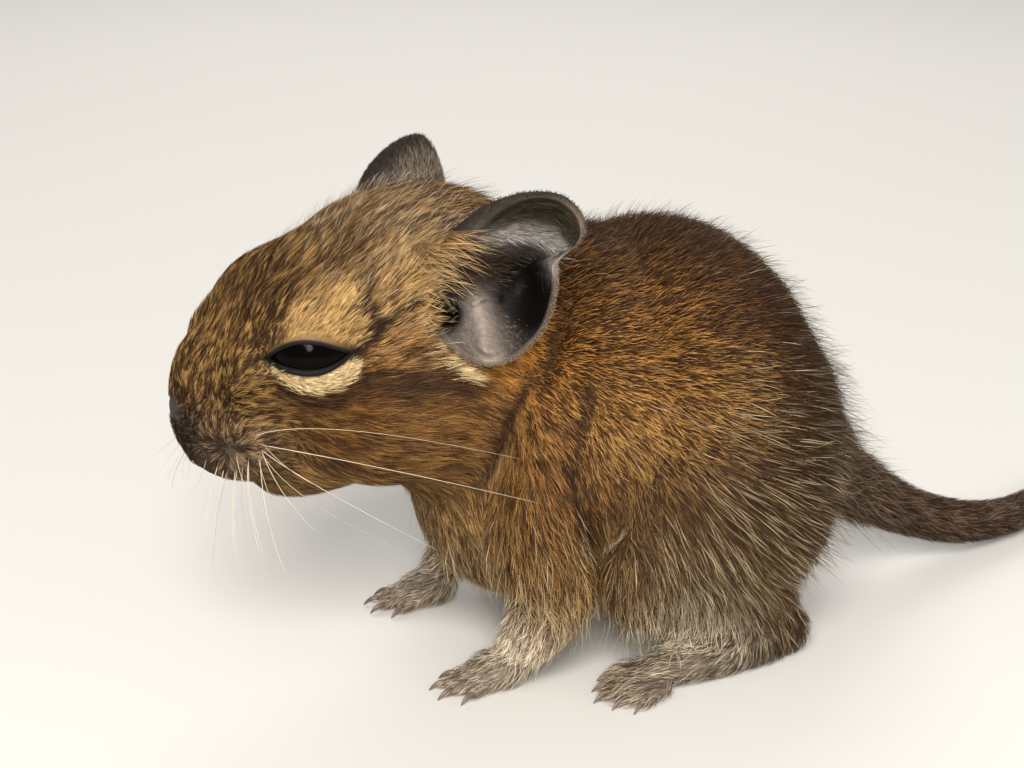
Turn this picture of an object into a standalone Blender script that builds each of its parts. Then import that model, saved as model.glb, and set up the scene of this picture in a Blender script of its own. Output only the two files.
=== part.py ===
"""A young degu, crouched with its head held level, as a still life-size model.

The animal is modelled whole, from rounded masses of flesh and fur in three frames:
the head's own frame, the body's and one for each ear. The masses are fused and
smoothed into one form, the form is cut flat where it stands on the floor, and it is
then parted with thin curved cuts into head, neck, trunk, legs, feet and tail. The
ears are cupped shells set in hollows of the head, and the eyes are balls in sockets.

The nose points to -X, the animal's left side faces -Y, and the floor is z = 0.
"""

import math

import bmesh
import bpy
from mathutils import Euler, Matrix, Vector

# ---------------------------------------------------------------- sizes, in millimetres
MM = 0.001
GAP = 0.30  # width of every cut between two pieces
FLOOR = 0.0

ORIGIN_SHIFT = (-16.75, 0.0, 0.0)  # brings the middle of the footprint to the origin

# Head: its frame lies midway between the eyes, x to the nose, y to the left ear, z to the crown
HEAD_ORIGIN = (-17.2, 0.0, 27.0)
HEAD_PITCH = 20.0  # nose down
HEAD_ROLL = 0.0  # crown leaning to the left
HEAD_YAW = 0.0  # nose turned to the left

EYE_CENTRE = (-0.4, 5.3, -1.0)
EYE_RADIUS = 3.0

# Ears: the ear canal's place, the way the cup opens and the lean of the tip to the back,
# all in the head's frame with y outwards. The two ears are held a little differently.
EAR_POSES = {
    -1: ((-8.9, 8.7, -0.8), (0.40, 1.0, 0.34), 43.0),
    1: ((-8.2, 8.7, -1.9), (0.41, 1.0, 0.12), 42.0),
}
EAR_HALF_WIDTH = 4.55
EAR_HALF_HEIGHT = 5.8
EAR_EGG = 0.12  # how much wider the upper half of the rim is
EAR_MIDDLE = (3.5, 3.1)  # of the rim, back and up from the canal
EAR_DEEPEST = (1.7, 1.3)
EAR_DEPTH = 4.4
EAR_WALL = 0.62

# Voxel sizes and smoothing of the fused form
BODY_VOXEL = 0.55
BODY_SMOOTH = 26
FINE_VOXEL = 0.30
FINE_SMOOTH = 5
FORM_TRIANGLES = 3500

# Masses: centre, radii, turn about X, Y, Z in degrees. Pairs are mirrored by their y.
HEAD_MASSES = (
    ((-7.4, 0.0, -3.6), (10.8, 9.2, 9.0), (0, 0, 0)),  # brain case
    ((-1.0, 0.0, -3.0), (8.4, 6.8, 7.2), (0, 6, 0)),  # forehead
    ((4.2, 0.0, -3.2), (5.6, 4.6, 5.3), (0, 14, 0)),  # snout
    ((5.8, 0.0, -4.9), (4.4, 4.1, 4.5), (0, 0, 0)),  # end of the muzzle
    ((-0.8, 0.0, -9.4), (7.8, 5.0, 4.0), (0, 5, 0)),  # lower jaw
    ((-8.6, 0.0, -9.7), (7.4, 7.2, 6.3), (0, 0, 0)),  # throat
)
HEAD_PAIRS = (
    ((5.4, 2.1, -5.4), (3.9, 3.5, 3.9), (0, 0, 0)),  # whisker pad
    ((-4.2, 4.4, -7.2), (7.8, 5.2, 6.2), (0, 0, -6)),  # cheek
    ((-0.4, 5.2, -0.4), (4.8, 3.0, 3.6), (0, 0, -8)),  # brow round the eye
    ((-9.5, 5.2, -2.4), (6.0, 4.0, 6.0), (0, 0, 0)),  # base of the ear
)
BODY_MASSES = (
    ((-3.8, 0.0, 22.4), (10.0, 9.6, 11.0), (0, 20, 0)),  # neck
    ((-0.8, 0.0, 14.0), (8.0, 8.8, 9.6), (0, 0, 0)),  # chest
    ((4.0, 0.0, 18.0), (12.6, 12.3, 14.0), (0, 0, 0)),  # ribs
    ((11.0, 0.0, 17.5), (12.6, 13.0, 14.3), (0, 0, 0)),  # arched back
    ((16.4, 0.0, 14.0), (9.8, 11.4, 11.6), (0, 0, 0)),  # hips
    ((22.4, 0.0, 11.4), (6.6, 5.4, 5.6), (0, 28, 0)),  # root of the tail
    ((5.0, 0.0, 8.4), (11.5, 9.2, 5.0), (0, 0, 0)),  # belly
)
BODY_PAIRS = (
    ((-0.2, 8.0, 14.0), (5.4, 4.6, 8.6), (0, 12, 0)),  # shoulder and upper arm
    ((0.8, 8.6, 8.4), (3.6, 3.0, 4.2), (0, 0, 0)),  # elbow
    ((12.2, 8.8, 11.2), (9.6, 5.8, 9.8), (0, 0, 0)),  # thigh
    ((5.6, 10.4, 8.0), (4.2, 3.6, 5.0), (0, 0, 0)),  # knee
    ((12.4, 11.0, 5.2), (7.0, 3.4, 3.8), (0, 8, 0)),  # shank under the thigh
)

# Legs and feet, one side, y outwards: forearm, hand and foot are thin and stay unblurred
FOREARM = ((-0.6, 7.8, 5.4), (2.2, 2.1, 4.6), (0, 32, 0))
WRIST = ((-2.7, 7.5, 2.5), (1.6, 1.6, 2.0), (0, 20, 0))
PALM = ((-4.2, 7.3, 1.1), (2.3, 1.9, 1.35), (0, 0, 0))
FINGERS = 4
FINGER_LENGTH = 3.1
FINGER_RADIUS = 0.62
FINGER_SPREAD = 46.0  # degrees from first to last

HEEL = ((17.2, 10.4, 1.9), (2.0, 1.7, 2.2), (0, 0, 0))
SOLE = ((11.4, 11.3, 1.2), (6.8, 1.95, 1.5), (0, 0, -7))
INSTEP = ((12.6, 11.1, 2.6), (4.8, 1.9, 2.0), (0, 6, -7))
TOES = 5
TOE_LENGTH = 3.9
TOE_RADIUS = 0.72
TOE_SPREAD = 38.0
FOOT_FRONT = (5.8, 12.0)

# Tail: laid back along the floor in a slow bend to the right
TAIL_PATH = (
    (21.0, 0.0, 11.4),
    (25.0, -0.2, 9.6),
    (29.0, -0.5, 7.2),
    (33.5, -0.7, 4.7),
    (38.5, -0.4, 2.8),
    (44.0, 0.8, 1.85),
    (49.5, 3.0, 1.70),
    (54.5, 6.2, 1.75),
    (58.5, 9.8, 1.70),
)
TAIL_RADIUS = (4.4, 3.6, 2.9, 2.4, 2.05, 1.85, 1.8, 1.85, 0.75)
TAIL_SPLITS = (0.34, 0.67)  # shares of the tail's length at which it is parted

# Cuts between the parts: a place and the way back through it, then the legs' regions
NAPE_CUT = ((-7.4, 0.0, 24.2), (0.93, 0.0, -0.36))
WITHERS_CUT = ((-2.4, 0.0, 20.0), (0.97, 0.0, -0.22))
RUMP_CUT = ((24.9, 0.2, 9.8), (0.86, 0.05, -0.5))
ARM_REGION = ((-1.4, 11.0, 8.6), (6.0, 7.2, 12.0))
THIGH_REGION = ((12.6, 14.6, 8.6), (11.2, 9.2, 11.8))
ANKLE = 2.6
HAND_TO_FOOT = -0.2  # between the hand's heel and the toes
SIDES = ((-1, "left"), (1, "right"))

COLOURS = {
    "coat": (0.30, 0.17, 0.075),
    "coat_dark": (0.20, 0.13, 0.08),
    "ear": (0.12, 0.10, 0.10),
    "foot": (0.34, 0.29, 0.25),
    "eye": (0.006, 0.006, 0.007),
}


# ---------------------------------------------------------------- helpers
def clear_scene():
    for obj in list(bpy.data.objects):
        bpy.data.objects.remove(obj, do_unlink=True)


def collection(name):
    made = bpy.data.collections.new(name)
    bpy.context.scene.collection.children.link(made)
    return made


def material(name, roughness, metallic=0.0):
    mat = bpy.data.materials.new(name)
    mat.use_nodes = True
    shader = mat.node_tree.nodes["Principled BSDF"]
    shader.inputs["Base Color"].default_value = (*COLOURS[name], 1.0)
    shader.inputs["Roughness"].default_value = roughness
    shader.inputs["Metallic"].default_value = metallic
    mat.diffuse_color = (*COLOURS[name], 1.0)
    return mat


def object_of(mesh, name, into, mat=None, helper=False):
    obj = bpy.data.objects.new(name, mesh)
    into.objects.link(obj)
    if mat:
        mesh.materials.clear()
        mesh.materials.append(mat)
    if helper:
        obj.hide_render = True
        obj.display_type = "WIRE"
    return obj


def mesh_of(bm, name):
    mesh = bpy.data.meshes.new(name)
    bm.normal_update()
    bm.to_mesh(mesh)
    bm.free()
    return mesh


def scale_mm():
    """From the design's millimetres to metres, with the footprint centred."""
    return Matrix.Scale(MM, 4) @ Matrix.Translation(ORIGIN_SHIFT)


def head_frame():
    pitch = math.radians(HEAD_PITCH)
    forward = Vector((-math.cos(pitch), 0.0, -math.sin(pitch)))
    up = Vector((-math.sin(pitch), 0.0, math.cos(pitch)))
    left = up.cross(forward)
    base = Matrix((forward, left, up)).transposed().to_4x4()
    return (
        Matrix.Translation(HEAD_ORIGIN)
        @ base
        @ Matrix.Rotation(math.radians(HEAD_YAW), 4, "Z")
        @ Matrix.Rotation(math.radians(-HEAD_ROLL), 4, "X")
    )


def turned(centre, turn):
    angles = Euler([math.radians(a) for a in turn])
    return Matrix.Translation(centre) @ angles.to_matrix().to_4x4()


def add_mass(bm, frame, centre, radii, turn, detail=4):
    matrix = scale_mm() @ frame @ turned(centre, turn) @ Matrix.Diagonal((*radii, 1.0))
    bmesh.ops.create_icosphere(bm, subdivisions=detail, radius=1.0, matrix=matrix)


def both_sides(centre, turn):
    """The same place on the left and on the right."""
    for side in (-1, 1):
        yield (
            side,
            (centre[0], side * centre[1], centre[2]),
            (side * turn[0], turn[1], side * turn[2]),
        )


def fused(obj, voxel, smooth, triangles=None):
    """Remesh, smooth and decimate, as a new mesh."""
    remesh = obj.modifiers.new("fuse", "REMESH")
    remesh.mode = "VOXEL"
    remesh.voxel_size = voxel * MM
    remesh.adaptivity = 0.0
    if smooth:
        soften = obj.modifiers.new("soften", "SMOOTH")
        soften.factor = 0.5
        soften.iterations = smooth
    graph = bpy.context.evaluated_depsgraph_get()
    graph.update()
    mesh = bpy.data.meshes.new_from_object(obj.evaluated_get(graph))
    if triangles:
        held = bpy.data.objects.new("held", mesh)
        bpy.context.scene.collection.objects.link(held)
        thin = held.modifiers.new("thin", "DECIMATE")
        thin.ratio = triangles / (2.0 * len(mesh.polygons))
        thin.use_collapse_triangulate = True
        graph = bpy.context.evaluated_depsgraph_get()
        graph.update()
        mesh = bpy.data.meshes.new_from_object(held.evaluated_get(graph))
        bpy.data.objects.remove(held)
    return mesh


def tube(points, radii, name):
    """A closed tube of changing thickness along a smooth path, as a mesh."""
    curve = bpy.data.curves.new(name, "CURVE")
    curve.dimensions = "3D"
    curve.bevel_depth = MM
    curve.bevel_resolution = 4
    curve.use_fill_caps = True
    spline = curve.splines.new("POLY")
    spline.points.add(len(points) - 1)
    for point, place, radius in zip(spline.points, points, radii):
        point.co = (*(scale_mm() @ Vector(place)), 1.0)
        point.radius = radius
    obj = bpy.data.objects.new(name, curve)
    bpy.context.scene.collection.objects.link(obj)
    graph = bpy.context.evaluated_depsgraph_get()
    graph.update()
    mesh = bpy.data.meshes.new_from_object(obj.evaluated_get(graph))
    bpy.data.objects.remove(obj)
    bm = bmesh.new()
    bm.from_mesh(mesh)
    bmesh.ops.remove_doubles(bm, verts=bm.verts, dist=0.02 * MM)
    bmesh.ops.recalc_face_normals(bm, faces=bm.faces)
    bm.to_mesh(mesh)
    bm.free()
    return mesh


def smooth_path(points, values, steps):
    """Catmull-Rom points and values along a short list of them."""
    places, along = [], []
    last = len(points) - 1
    for i in range(last):
        around = [
            (Vector(points[k]), values[k])
            for k in (max(i - 1, 0), i, i + 1, min(i + 2, last))
        ]
        for step in range(steps + (i == last - 1)):
            t = step / steps
            weights = (
                -0.5 * t + t * t - 0.5 * t**3,
                1 - 2.5 * t * t + 1.5 * t**3,
                0.5 * t + 2 * t * t - 1.5 * t**3,
                -0.5 * t * t + 0.5 * t**3,
            )
            places.append(sum((w * p for w, (p, _) in zip(weights, around)), Vector()))
            along.append(sum(w * v for w, (_, v) in zip(weights, around)))
    return places, along


# ---------------------------------------------------------------- the whole form
def build_flesh():
    """Head, neck, trunk and the thick of the legs, fused with broad soft joins."""
    bm = bmesh.new()
    head, body = head_frame(), Matrix.Identity(4)
    for centre, radii, turn in HEAD_MASSES:
        add_mass(bm, head, centre, radii, turn)
    for centre, radii, turn in BODY_MASSES:
        add_mass(bm, body, centre, radii, turn)
    for masses, frame in ((HEAD_PAIRS, head), (BODY_PAIRS, body)):
        for centre, radii, turn in masses:
            for _, place, angles in both_sides(centre, turn):
                add_mass(bm, frame, place, radii, angles)
    obj = object_of(mesh_of(bm, "flesh"), "flesh", helpers, helper=True)
    return fused(obj, BODY_VOXEL, BODY_SMOOTH)


def add_digits(bm, side, root, count, length, radius, spread, heading):
    """Digits fanned from the front of a hand or a foot, each with a blunt claw's taper."""
    for i in range(count):
        share = i / (count - 1) - 0.5
        angle = math.radians(heading + share * spread)
        size = 1.0 - 0.30 * abs(2 * share) ** 1.6
        reach = length * size
        away = Vector((-math.cos(angle), side * math.sin(angle), 0.0))
        base = Vector((root[0], side * root[1], radius * 0.95))
        base += Vector((0.5 * abs(2 * share), side * share * 2.1 * radius * (count - 1) * 0.5, 0))
        middle = base + away * (0.5 * reach)
        turn = (0, 3, math.degrees(math.atan2(away.y, away.x)))
        add_mass(bm, Matrix.Identity(4), middle, (0.62 * reach, radius, radius * 1.05), turn, 3)
        tip = base + away * (0.98 * reach)
        tip.z = radius * 0.72
        add_mass(bm, Matrix.Identity(4), tip, (0.30 * reach, 0.46 * radius, 0.5 * radius), turn, 3)


def build_form(flesh):
    """The flesh with its thin parts: forearms, hands, feet and tail."""
    bm = bmesh.new()
    bm.from_mesh(flesh)
    path, radii = smooth_path(TAIL_PATH, TAIL_RADIUS, 4)
    bm.from_mesh(tube(path, radii, "tail_form"))
    body = Matrix.Identity(4)
    for centre, size, turn in (FOREARM, WRIST, PALM, HEEL, SOLE, INSTEP):
        for _, place, angles in both_sides(centre, turn):
            add_mass(bm, body, place, size, angles, 3)
    for side in (-1, 1):
        hand = (PALM[0][0] - 1.2, PALM[0][1])
        add_digits(bm, side, hand, FINGERS, FINGER_LENGTH, FINGER_RADIUS, FINGER_SPREAD, 2)
        add_digits(bm, side, FOOT_FRONT, TOES, TOE_LENGTH, TOE_RADIUS, TOE_SPREAD, 9)
    obj = object_of(mesh_of(bm, "form"), "form", helpers, helper=True)
    return fused(obj, FINE_VOXEL, FINE_SMOOTH, FORM_TRIANGLES)


# ---------------------------------------------------------------- ears
def ear_frame(side):
    """Origin at the ear canal, x to the back of the ear, y to its top, z out of its cup."""
    canal, facing, lean = EAR_POSES[side]
    facing = Vector(facing).normalized()
    top = Vector((-math.sin(math.radians(lean)), 0.0, math.cos(math.radians(lean))))
    top = (top - facing * top.dot(facing)).normalized()
    back = top.cross(facing)
    local = Matrix.Translation(canal) @ Matrix((back, top, facing)).transposed().to_4x4()
    if side > 0:  # the right ear is mirrored in the head's middle plane
        local = Matrix.Diagonal((1, -1, 1, 1)) @ local
    return head_frame() @ local


def ear_outline(angle):
    """Rim of the ear in its own plane: a tall rounded lobe with a slight notch behind."""
    wide = EAR_HALF_WIDTH * (1.0 + EAR_EGG * math.sin(angle))
    x = EAR_MIDDLE[0] + wide * math.cos(angle) + 0.35 * math.cos(2 * angle)
    y = EAR_MIDDLE[1] + EAR_HALF_HEIGHT * math.sin(angle) - 0.25 * math.cos(2 * angle)
    notch = math.exp(-(((math.degrees(angle) + 180) % 360 - 180 + 4) / 16.0) ** 2)
    return Vector((x - 0.45 * notch, y, 0.0))


def ear_point(share, angle, sink=0.0, grow=0.0):
    """A point of the cup, from the bottom at share 0 to the rim at share 1."""
    rim = ear_outline(angle)
    middle = Vector((*EAR_DEEPEST, 0.0))
    spread = rim - middle
    spread *= (spread.length + grow) / spread.length
    flat = middle + spread * share**0.85
    depth = EAR_DEPTH * (1.0 - share**2.3)
    roll = 0.9 * max(0.0, -math.cos(angle)) * share**6  # front rim turned out
    back = 1.1 * max(0.0, math.cos(angle)) * share**3  # back edge standing away
    return Vector((flat.x, flat.y, -depth - sink + roll + back))


def ear_cup(side, rings, spokes, sink=0.0, grow=0.0, lid=None):
    """The cup's surface. With a lid it is a closed filled bowl, used to hollow the head."""
    bm = bmesh.new()
    place = scale_mm() @ ear_frame(side)
    levels = []
    centre = bm.verts.new(place @ ear_point(0.0, 0.0, sink, grow))
    for r in range(1, rings + 1):
        share = r / rings
        levels.append(
            [
                bm.verts.new(place @ ear_point(share, 2 * math.pi * k / spokes, sink, grow))
                for k in range(spokes)
            ]
        )
    for k in range(spokes):
        bm.faces.new((centre, levels[0][k], levels[0][(k + 1) % spokes]))
        for inner, outer in zip(levels, levels[1:]):
            bm.faces.new(
                (inner[k], outer[k], outer[(k + 1) % spokes], inner[(k + 1) % spokes])
            )
    if lid is not None:
        top = [
            bm.verts.new(
                place @ (ear_point(1.0, 2 * math.pi * k / spokes, 0.0, grow + lid * 0.4) + Vector((0, 0, lid)))
            )
            for k in range(spokes)
        ]
        for k in range(spokes):
            n = (k + 1) % spokes
            bm.faces.new((levels[-1][k], top[k], top[n], levels[-1][n]))
        bm.faces.new(top)
    bmesh.ops.recalc_face_normals(bm, faces=bm.faces)
    return mesh_of(bm, "ear_cup")


def build_ear(side, name, mat):
    obj = object_of(ear_cup(side, 5, 22), name, animal, mat)
    wall = obj.modifiers.new("wall", "SOLIDIFY")
    wall.thickness = EAR_WALL * MM
    wall.offset = 0.0
    wall.use_even_offset = True
    return obj


# ---------------------------------------------------------------- parting cuts
def ball(name, centre, radii, frame=None, grow=0.0, segments=22):
    bm = bmesh.new()
    matrix = (
        scale_mm()
        @ (frame or Matrix.Identity(4))
        @ Matrix.Translation(centre)
        @ Matrix.Diagonal((*(r + grow for r in radii), 1.0))
    )
    bmesh.ops.create_uvsphere(
        bm, u_segments=segments, v_segments=segments // 2, radius=1.0, matrix=matrix
    )
    return object_of(mesh_of(bm, name), name, cutters, helper=True)


def block(name, low, high, frame=None):
    """A box given by two corners, in the frame's own directions."""
    bm = bmesh.new()
    middle = [(a + b) / 2 for a, b in zip(low, high)]
    size = [b - a for a, b in zip(low, high)]
    matrix = (
        scale_mm()
        @ (frame or Matrix.Identity(4))
        @ Matrix.Translation(middle)
        @ Matrix.Diagonal((*size, 1.0))
    )
    bmesh.ops.create_cube(bm, size=1.0, matrix=matrix)
    return object_of(mesh_of(bm, name), name, cutters, helper=True)


def boolean(obj, cutter, operation):
    step = obj.modifiers.new(f"{operation.lower()}_{cutter.name}", "BOOLEAN")
    step.operation = operation
    step.solver = "EXACT"
    step.object = cutter


def facing_frame(place, direction):
    """A frame at place with x along direction, z as near up as it can be."""
    x = Vector(direction).normalized()
    y = Vector((0, 0, 1)).cross(x).normalized()
    z = x.cross(y)
    return Matrix.Translation(place) @ Matrix((x, y, z)).transposed().to_4x4()


def cut_frames():
    """Planes across the form, x running back along the animal."""
    path, _ = smooth_path(TAIL_PATH, TAIL_RADIUS, 4)
    frames = {
        "nape": facing_frame(*NAPE_CUT),
        "withers": facing_frame(*WITHERS_CUT),
        "rump": facing_frame(*RUMP_CUT),
    }
    for number, share in enumerate(TAIL_SPLITS):
        k = round(share * (len(path) - 1))
        frames[f"tail_{number + 1}"] = facing_frame(path[k], path[k + 1] - path[k - 1])
    return frames


def build():
    coat = material("coat", 0.8)
    dark = material("coat_dark", 0.8)
    ear = material("ear", 0.6)
    foot = material("foot", 0.7)
    eye = material("eye", 0.08)

    # The whole form, cut flat where it stands
    form = object_of(build_form(build_flesh()), "standing_form", helpers, helper=True)
    boolean(form, block("floor_cut", (-90, -90, -20), (110, 90, FLOOR)), "DIFFERENCE")
    graph = bpy.context.evaluated_depsgraph_get()
    graph.update()
    standing = bpy.data.meshes.new_from_object(form.evaluated_get(graph))

    half = GAP / 2
    far = 90
    ahead, behind = {}, {}
    for name, frame in cut_frames().items():
        ahead[name] = block(f"ahead_of_{name}", (-far, -far, -far), (half, far, far), frame)
        behind[name] = block(f"behind_{name}", (-half, -far, -far), (far, far, far), frame)
    low = block("below_ankles", (-40, -40, -10), (26, 40, ANKLE + half))

    arm_out, thigh_out, bowls = {}, {}, {}
    for side, word in SIDES:
        arm = ((ARM_REGION[0][0], side * ARM_REGION[0][1], ARM_REGION[0][2]), ARM_REGION[1])
        thigh = (
            (THIGH_REGION[0][0], side * THIGH_REGION[0][1], THIGH_REGION[0][2]),
            THIGH_REGION[1],
        )
        arm_in = ball(f"arm_in_{word}", *arm)
        arm_out[word] = ball(f"arm_out_{word}", *arm, grow=GAP)
        thigh_in = ball(f"thigh_in_{word}", *thigh)
        thigh_out[word] = ball(f"thigh_out_{word}", *thigh, grow=GAP)
        inner, outer = sorted((side * 2.0, side * 30.0))
        hand_box = block(f"hand_{word}", (-30, inner, -5), (HAND_TO_FOOT - half, outer, ANKLE - half))
        foot_box = block(f"foot_{word}", (HAND_TO_FOOT + half, inner, -5), (26, outer, ANKLE - half))

        leg = object_of(standing.copy(), f"foreleg_{word}", animal, coat)
        boolean(leg, arm_in, "INTERSECT")
        boolean(leg, low, "DIFFERENCE")
        leg = object_of(standing.copy(), f"hindleg_{word}", animal, coat)
        boolean(leg, thigh_in, "INTERSECT")
        boolean(leg, arm_out[word], "DIFFERENCE")
        boolean(leg, low, "DIFFERENCE")
        boolean(object_of(standing.copy(), f"forefoot_{word}", animal, foot), hand_box, "INTERSECT")
        boolean(object_of(standing.copy(), f"hindfoot_{word}", animal, foot), foot_box, "INTERSECT")

        room = EAR_WALL / 2 + GAP
        bowls[word] = object_of(
            ear_cup(side, 4, 22, sink=room, grow=room, lid=3.5), f"ear_room_{word}", cutters, helper=True
        )

    def cut_from_form(name, mat, cutter_list):
        obj = object_of(standing.copy(), name, animal, mat)
        for cutter in cutter_list:
            boolean(obj, cutter, "DIFFERENCE")
        return obj

    legs = [*arm_out.values(), *thigh_out.values(), low]
    head = cut_from_form("head", coat, [behind["nape"], *bowls.values()])
    cut_from_form(
        "neck", coat, [ahead["nape"], behind["withers"], *arm_out.values(), low, *bowls.values()]
    )
    cut_from_form("trunk", dark, [ahead["withers"], behind["rump"], *legs])
    cut_from_form("tail_base", dark, [ahead["rump"], behind["tail_1"]])
    cut_from_form("tail_mid", dark, [ahead["tail_1"], behind["tail_2"]])
    cut_from_form("tail_tip", dark, [ahead["tail_2"]])

    for side, word in SIDES:
        build_ear(side, f"ear_{word}", ear)
        place = (EYE_CENTRE[0], -side * EYE_CENTRE[1], EYE_CENTRE[2])
        socket = ball(f"socket_{word}", place, (EYE_RADIUS,) * 3, head_frame(), GAP, 16)
        boolean(head, socket, "DIFFERENCE")
        bm = bmesh.new()
        add_mass(bm, head_frame(), place, (EYE_RADIUS,) * 3, (0, 0, 0), 3)
        object_of(mesh_of(bm, "eye"), f"eye_{word}", animal, eye)


clear_scene()
animal = collection("degu")
helpers = collection("form")
cutters = collection("cutters")
build()
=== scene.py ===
"""A young degu: skin, eyes, ears, claws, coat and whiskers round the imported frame.

The skin is modelled from the same rounded masses as the solids, each one smaller by the
depth of the coat over it. Lids, nostrils, mouth and the hollows for the ears are then
worked into it. The coat is cut from tapered blades of mesh, rooted on the skin and
following the lie of the fur. Lengths are in millimetres until the last step of each piece.
The nose points to -X, the animal's left side faces -Y, and the floor is z = 0.
"""

import math
import time

import bmesh
import bpy
import numpy as np
from mathutils import Euler, Matrix, Vector
from mathutils.bvhtree import BVHTree
from mathutils.kdtree import KDTree


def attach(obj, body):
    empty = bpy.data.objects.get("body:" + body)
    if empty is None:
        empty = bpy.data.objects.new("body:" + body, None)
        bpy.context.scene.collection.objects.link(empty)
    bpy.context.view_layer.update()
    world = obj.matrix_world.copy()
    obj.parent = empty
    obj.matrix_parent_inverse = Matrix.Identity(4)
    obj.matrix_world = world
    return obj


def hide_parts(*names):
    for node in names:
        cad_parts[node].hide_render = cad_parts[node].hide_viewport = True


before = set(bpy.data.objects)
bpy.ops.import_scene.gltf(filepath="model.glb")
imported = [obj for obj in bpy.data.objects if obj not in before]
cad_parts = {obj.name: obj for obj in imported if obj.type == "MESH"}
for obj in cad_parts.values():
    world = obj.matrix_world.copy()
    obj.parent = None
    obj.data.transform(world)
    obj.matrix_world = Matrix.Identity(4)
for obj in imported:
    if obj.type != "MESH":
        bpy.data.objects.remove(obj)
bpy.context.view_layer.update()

STARTED = time.time()
MM = 0.001
SHIFT = np.array((-16.75, 0.0, 0.0))
rng = np.random.default_rng(7)


def note(words):
    print(f"[{time.time() - STARTED:6.1f} s] {words}", flush=True)


# ================================================================ sizes
HEAD_ORIGIN = (-17.2, 0.0, 27.0)
HEAD_PITCH = 20.0
EYE_CENTRE = np.array((-0.4, 5.3, -1.0))
EYE_RADIUS = 3.0

EAR_POSES = {
    -1: ((-8.9, 8.7, -0.8), (0.40, 1.0, 0.34), 43.0),
    1: ((-8.2, 8.7, -1.9), (0.41, 1.0, 0.12), 42.0),
}

# centre, radii, turn, depth of the coat over it
HEAD_MASSES = (
    ((-7.4, 0.0, -3.6), (10.8, 9.2, 9.0), (0, 0, 0), 1.2),  # brain case
    ((-1.0, 0.0, -3.0), (8.4, 6.8, 7.2), (0, 6, 0), 1.1),  # forehead
    ((4.2, 0.0, -3.2), (5.6, 4.6, 5.3), (0, 14, 0), 0.75),  # snout
    ((5.8, 0.0, -4.9), (4.4, 4.1, 4.5), (0, 0, 0), 0.5),  # end of the muzzle
    ((-2.8, 0.0, -1.0), (5.2, 4.8, 5.05), (0, 0, 0), 0.0),  # middle of the forehead
    ((-0.8, 0.0, -9.4), (7.8, 5.0, 4.0), (0, 5, 0), 1.0),  # lower jaw
    ((-8.6, 0.0, -9.7), (7.4, 7.2, 6.3), (0, 0, 0), 1.9),  # throat
)
HEAD_PAIRS = (
    ((5.4, 2.1, -5.4), (3.9, 3.5, 3.9), (0, 0, 0), 0.55),  # whisker pad
    ((-4.2, 4.4, -7.2), (7.8, 5.2, 6.2), (0, 0, -6), 1.2),  # cheek
    ((-0.4, 5.2, -0.4), (4.8, 3.0, 3.6), (0, 0, -8), 0.75),  # brow round the eye
    ((-3.8, 4.6, -0.6), (4.3, 3.1, 3.3), (0, 0, 0), 0.0),  # behind the eye
    ((2.4, 4.2, -1.4), (3.4, 2.4, 2.8), (0, 0, 0), 0.0),  # before the eye
    ((-0.6, 3.0, 0.2), (4.6, 3.4, 2.7), (0, 0, 0), 0.0),  # between eye and forehead
    ((-9.5, 5.2, -2.4), (6.0, 4.0, 6.0), (0, 0, 0), 1.1),  # base of the ear
)
BODY_MASSES = (
    ((-3.8, 0.0, 22.4), (10.0, 9.6, 11.0), (0, 20, 0), 1.9),  # neck
    ((-0.8, 0.0, 14.0), (8.0, 8.8, 9.6), (0, 0, 0), 2.2),  # chest
    ((4.0, 0.0, 18.0), (12.6, 12.3, 14.0), (0, 0, 0), 2.0),  # ribs
    ((11.0, 0.0, 17.5), (12.6, 13.0, 14.3), (0, 0, 0), 2.1),  # arched back
    ((16.4, 0.0, 14.0), (9.8, 11.4, 11.6), (0, 0, 0), 2.4),  # hips
    ((22.4, 0.0, 11.4), (6.6, 5.4, 5.6), (0, 28, 0), 1.9),  # root of the tail
    ((5.0, 0.0, 8.4), (11.5, 9.2, 5.0), (0, 0, 0), 1.8),  # belly
)
BODY_PAIRS = (
    ((-0.2, 8.0, 14.0), (5.4, 4.6, 8.6), (0, 12, 0), 1.9),  # shoulder and upper arm
    ((0.8, 8.6, 8.4), (3.6, 3.0, 4.2), (0, 0, 0), 1.5),  # elbow
    ((12.2, 8.8, 11.2), (9.6, 5.8, 9.8), (0, 0, 0), 2.0),  # thigh
    ((5.6, 10.4, 8.0), (4.2, 3.6, 5.0), (0, 0, 0), 1.9),  # knee
    ((12.4, 11.0, 5.2), (7.0, 3.4, 3.8), (0, 8, 0), 1.6),  # shank under the thigh
)
FOREARM = ((-0.6, 7.8, 5.4), (2.2, 2.1, 4.6), (0, 32, 0), 0.55)
WRIST = ((-2.7, 7.5, 2.5), (1.6, 1.6, 2.0), (0, 20, 0), 0.4)
PALM = ((-4.2, 7.3, 1.1), (2.3, 1.9, 1.35), (0, 0, 0), 0.2)
HEEL = ((17.2, 10.4, 1.9), (2.0, 1.7, 2.2), (0, 0, 0), 0.35)
SOLE = ((11.4, 11.3, 1.2), (6.8, 1.95, 1.5), (0, 0, -7), 0.2)
INSTEP = ((12.6, 11.1, 2.6), (4.8, 1.9, 2.0), (0, 6, -7), 0.4)
FINGERS, FINGER_LENGTH, FINGER_RADIUS, FINGER_SPREAD = 4, 3.1, 0.62, 46.0
TOES, TOE_LENGTH, TOE_RADIUS, TOE_SPREAD = 5, 3.9, 0.72, 38.0
FOOT_FRONT = (5.8, 12.0)

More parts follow.
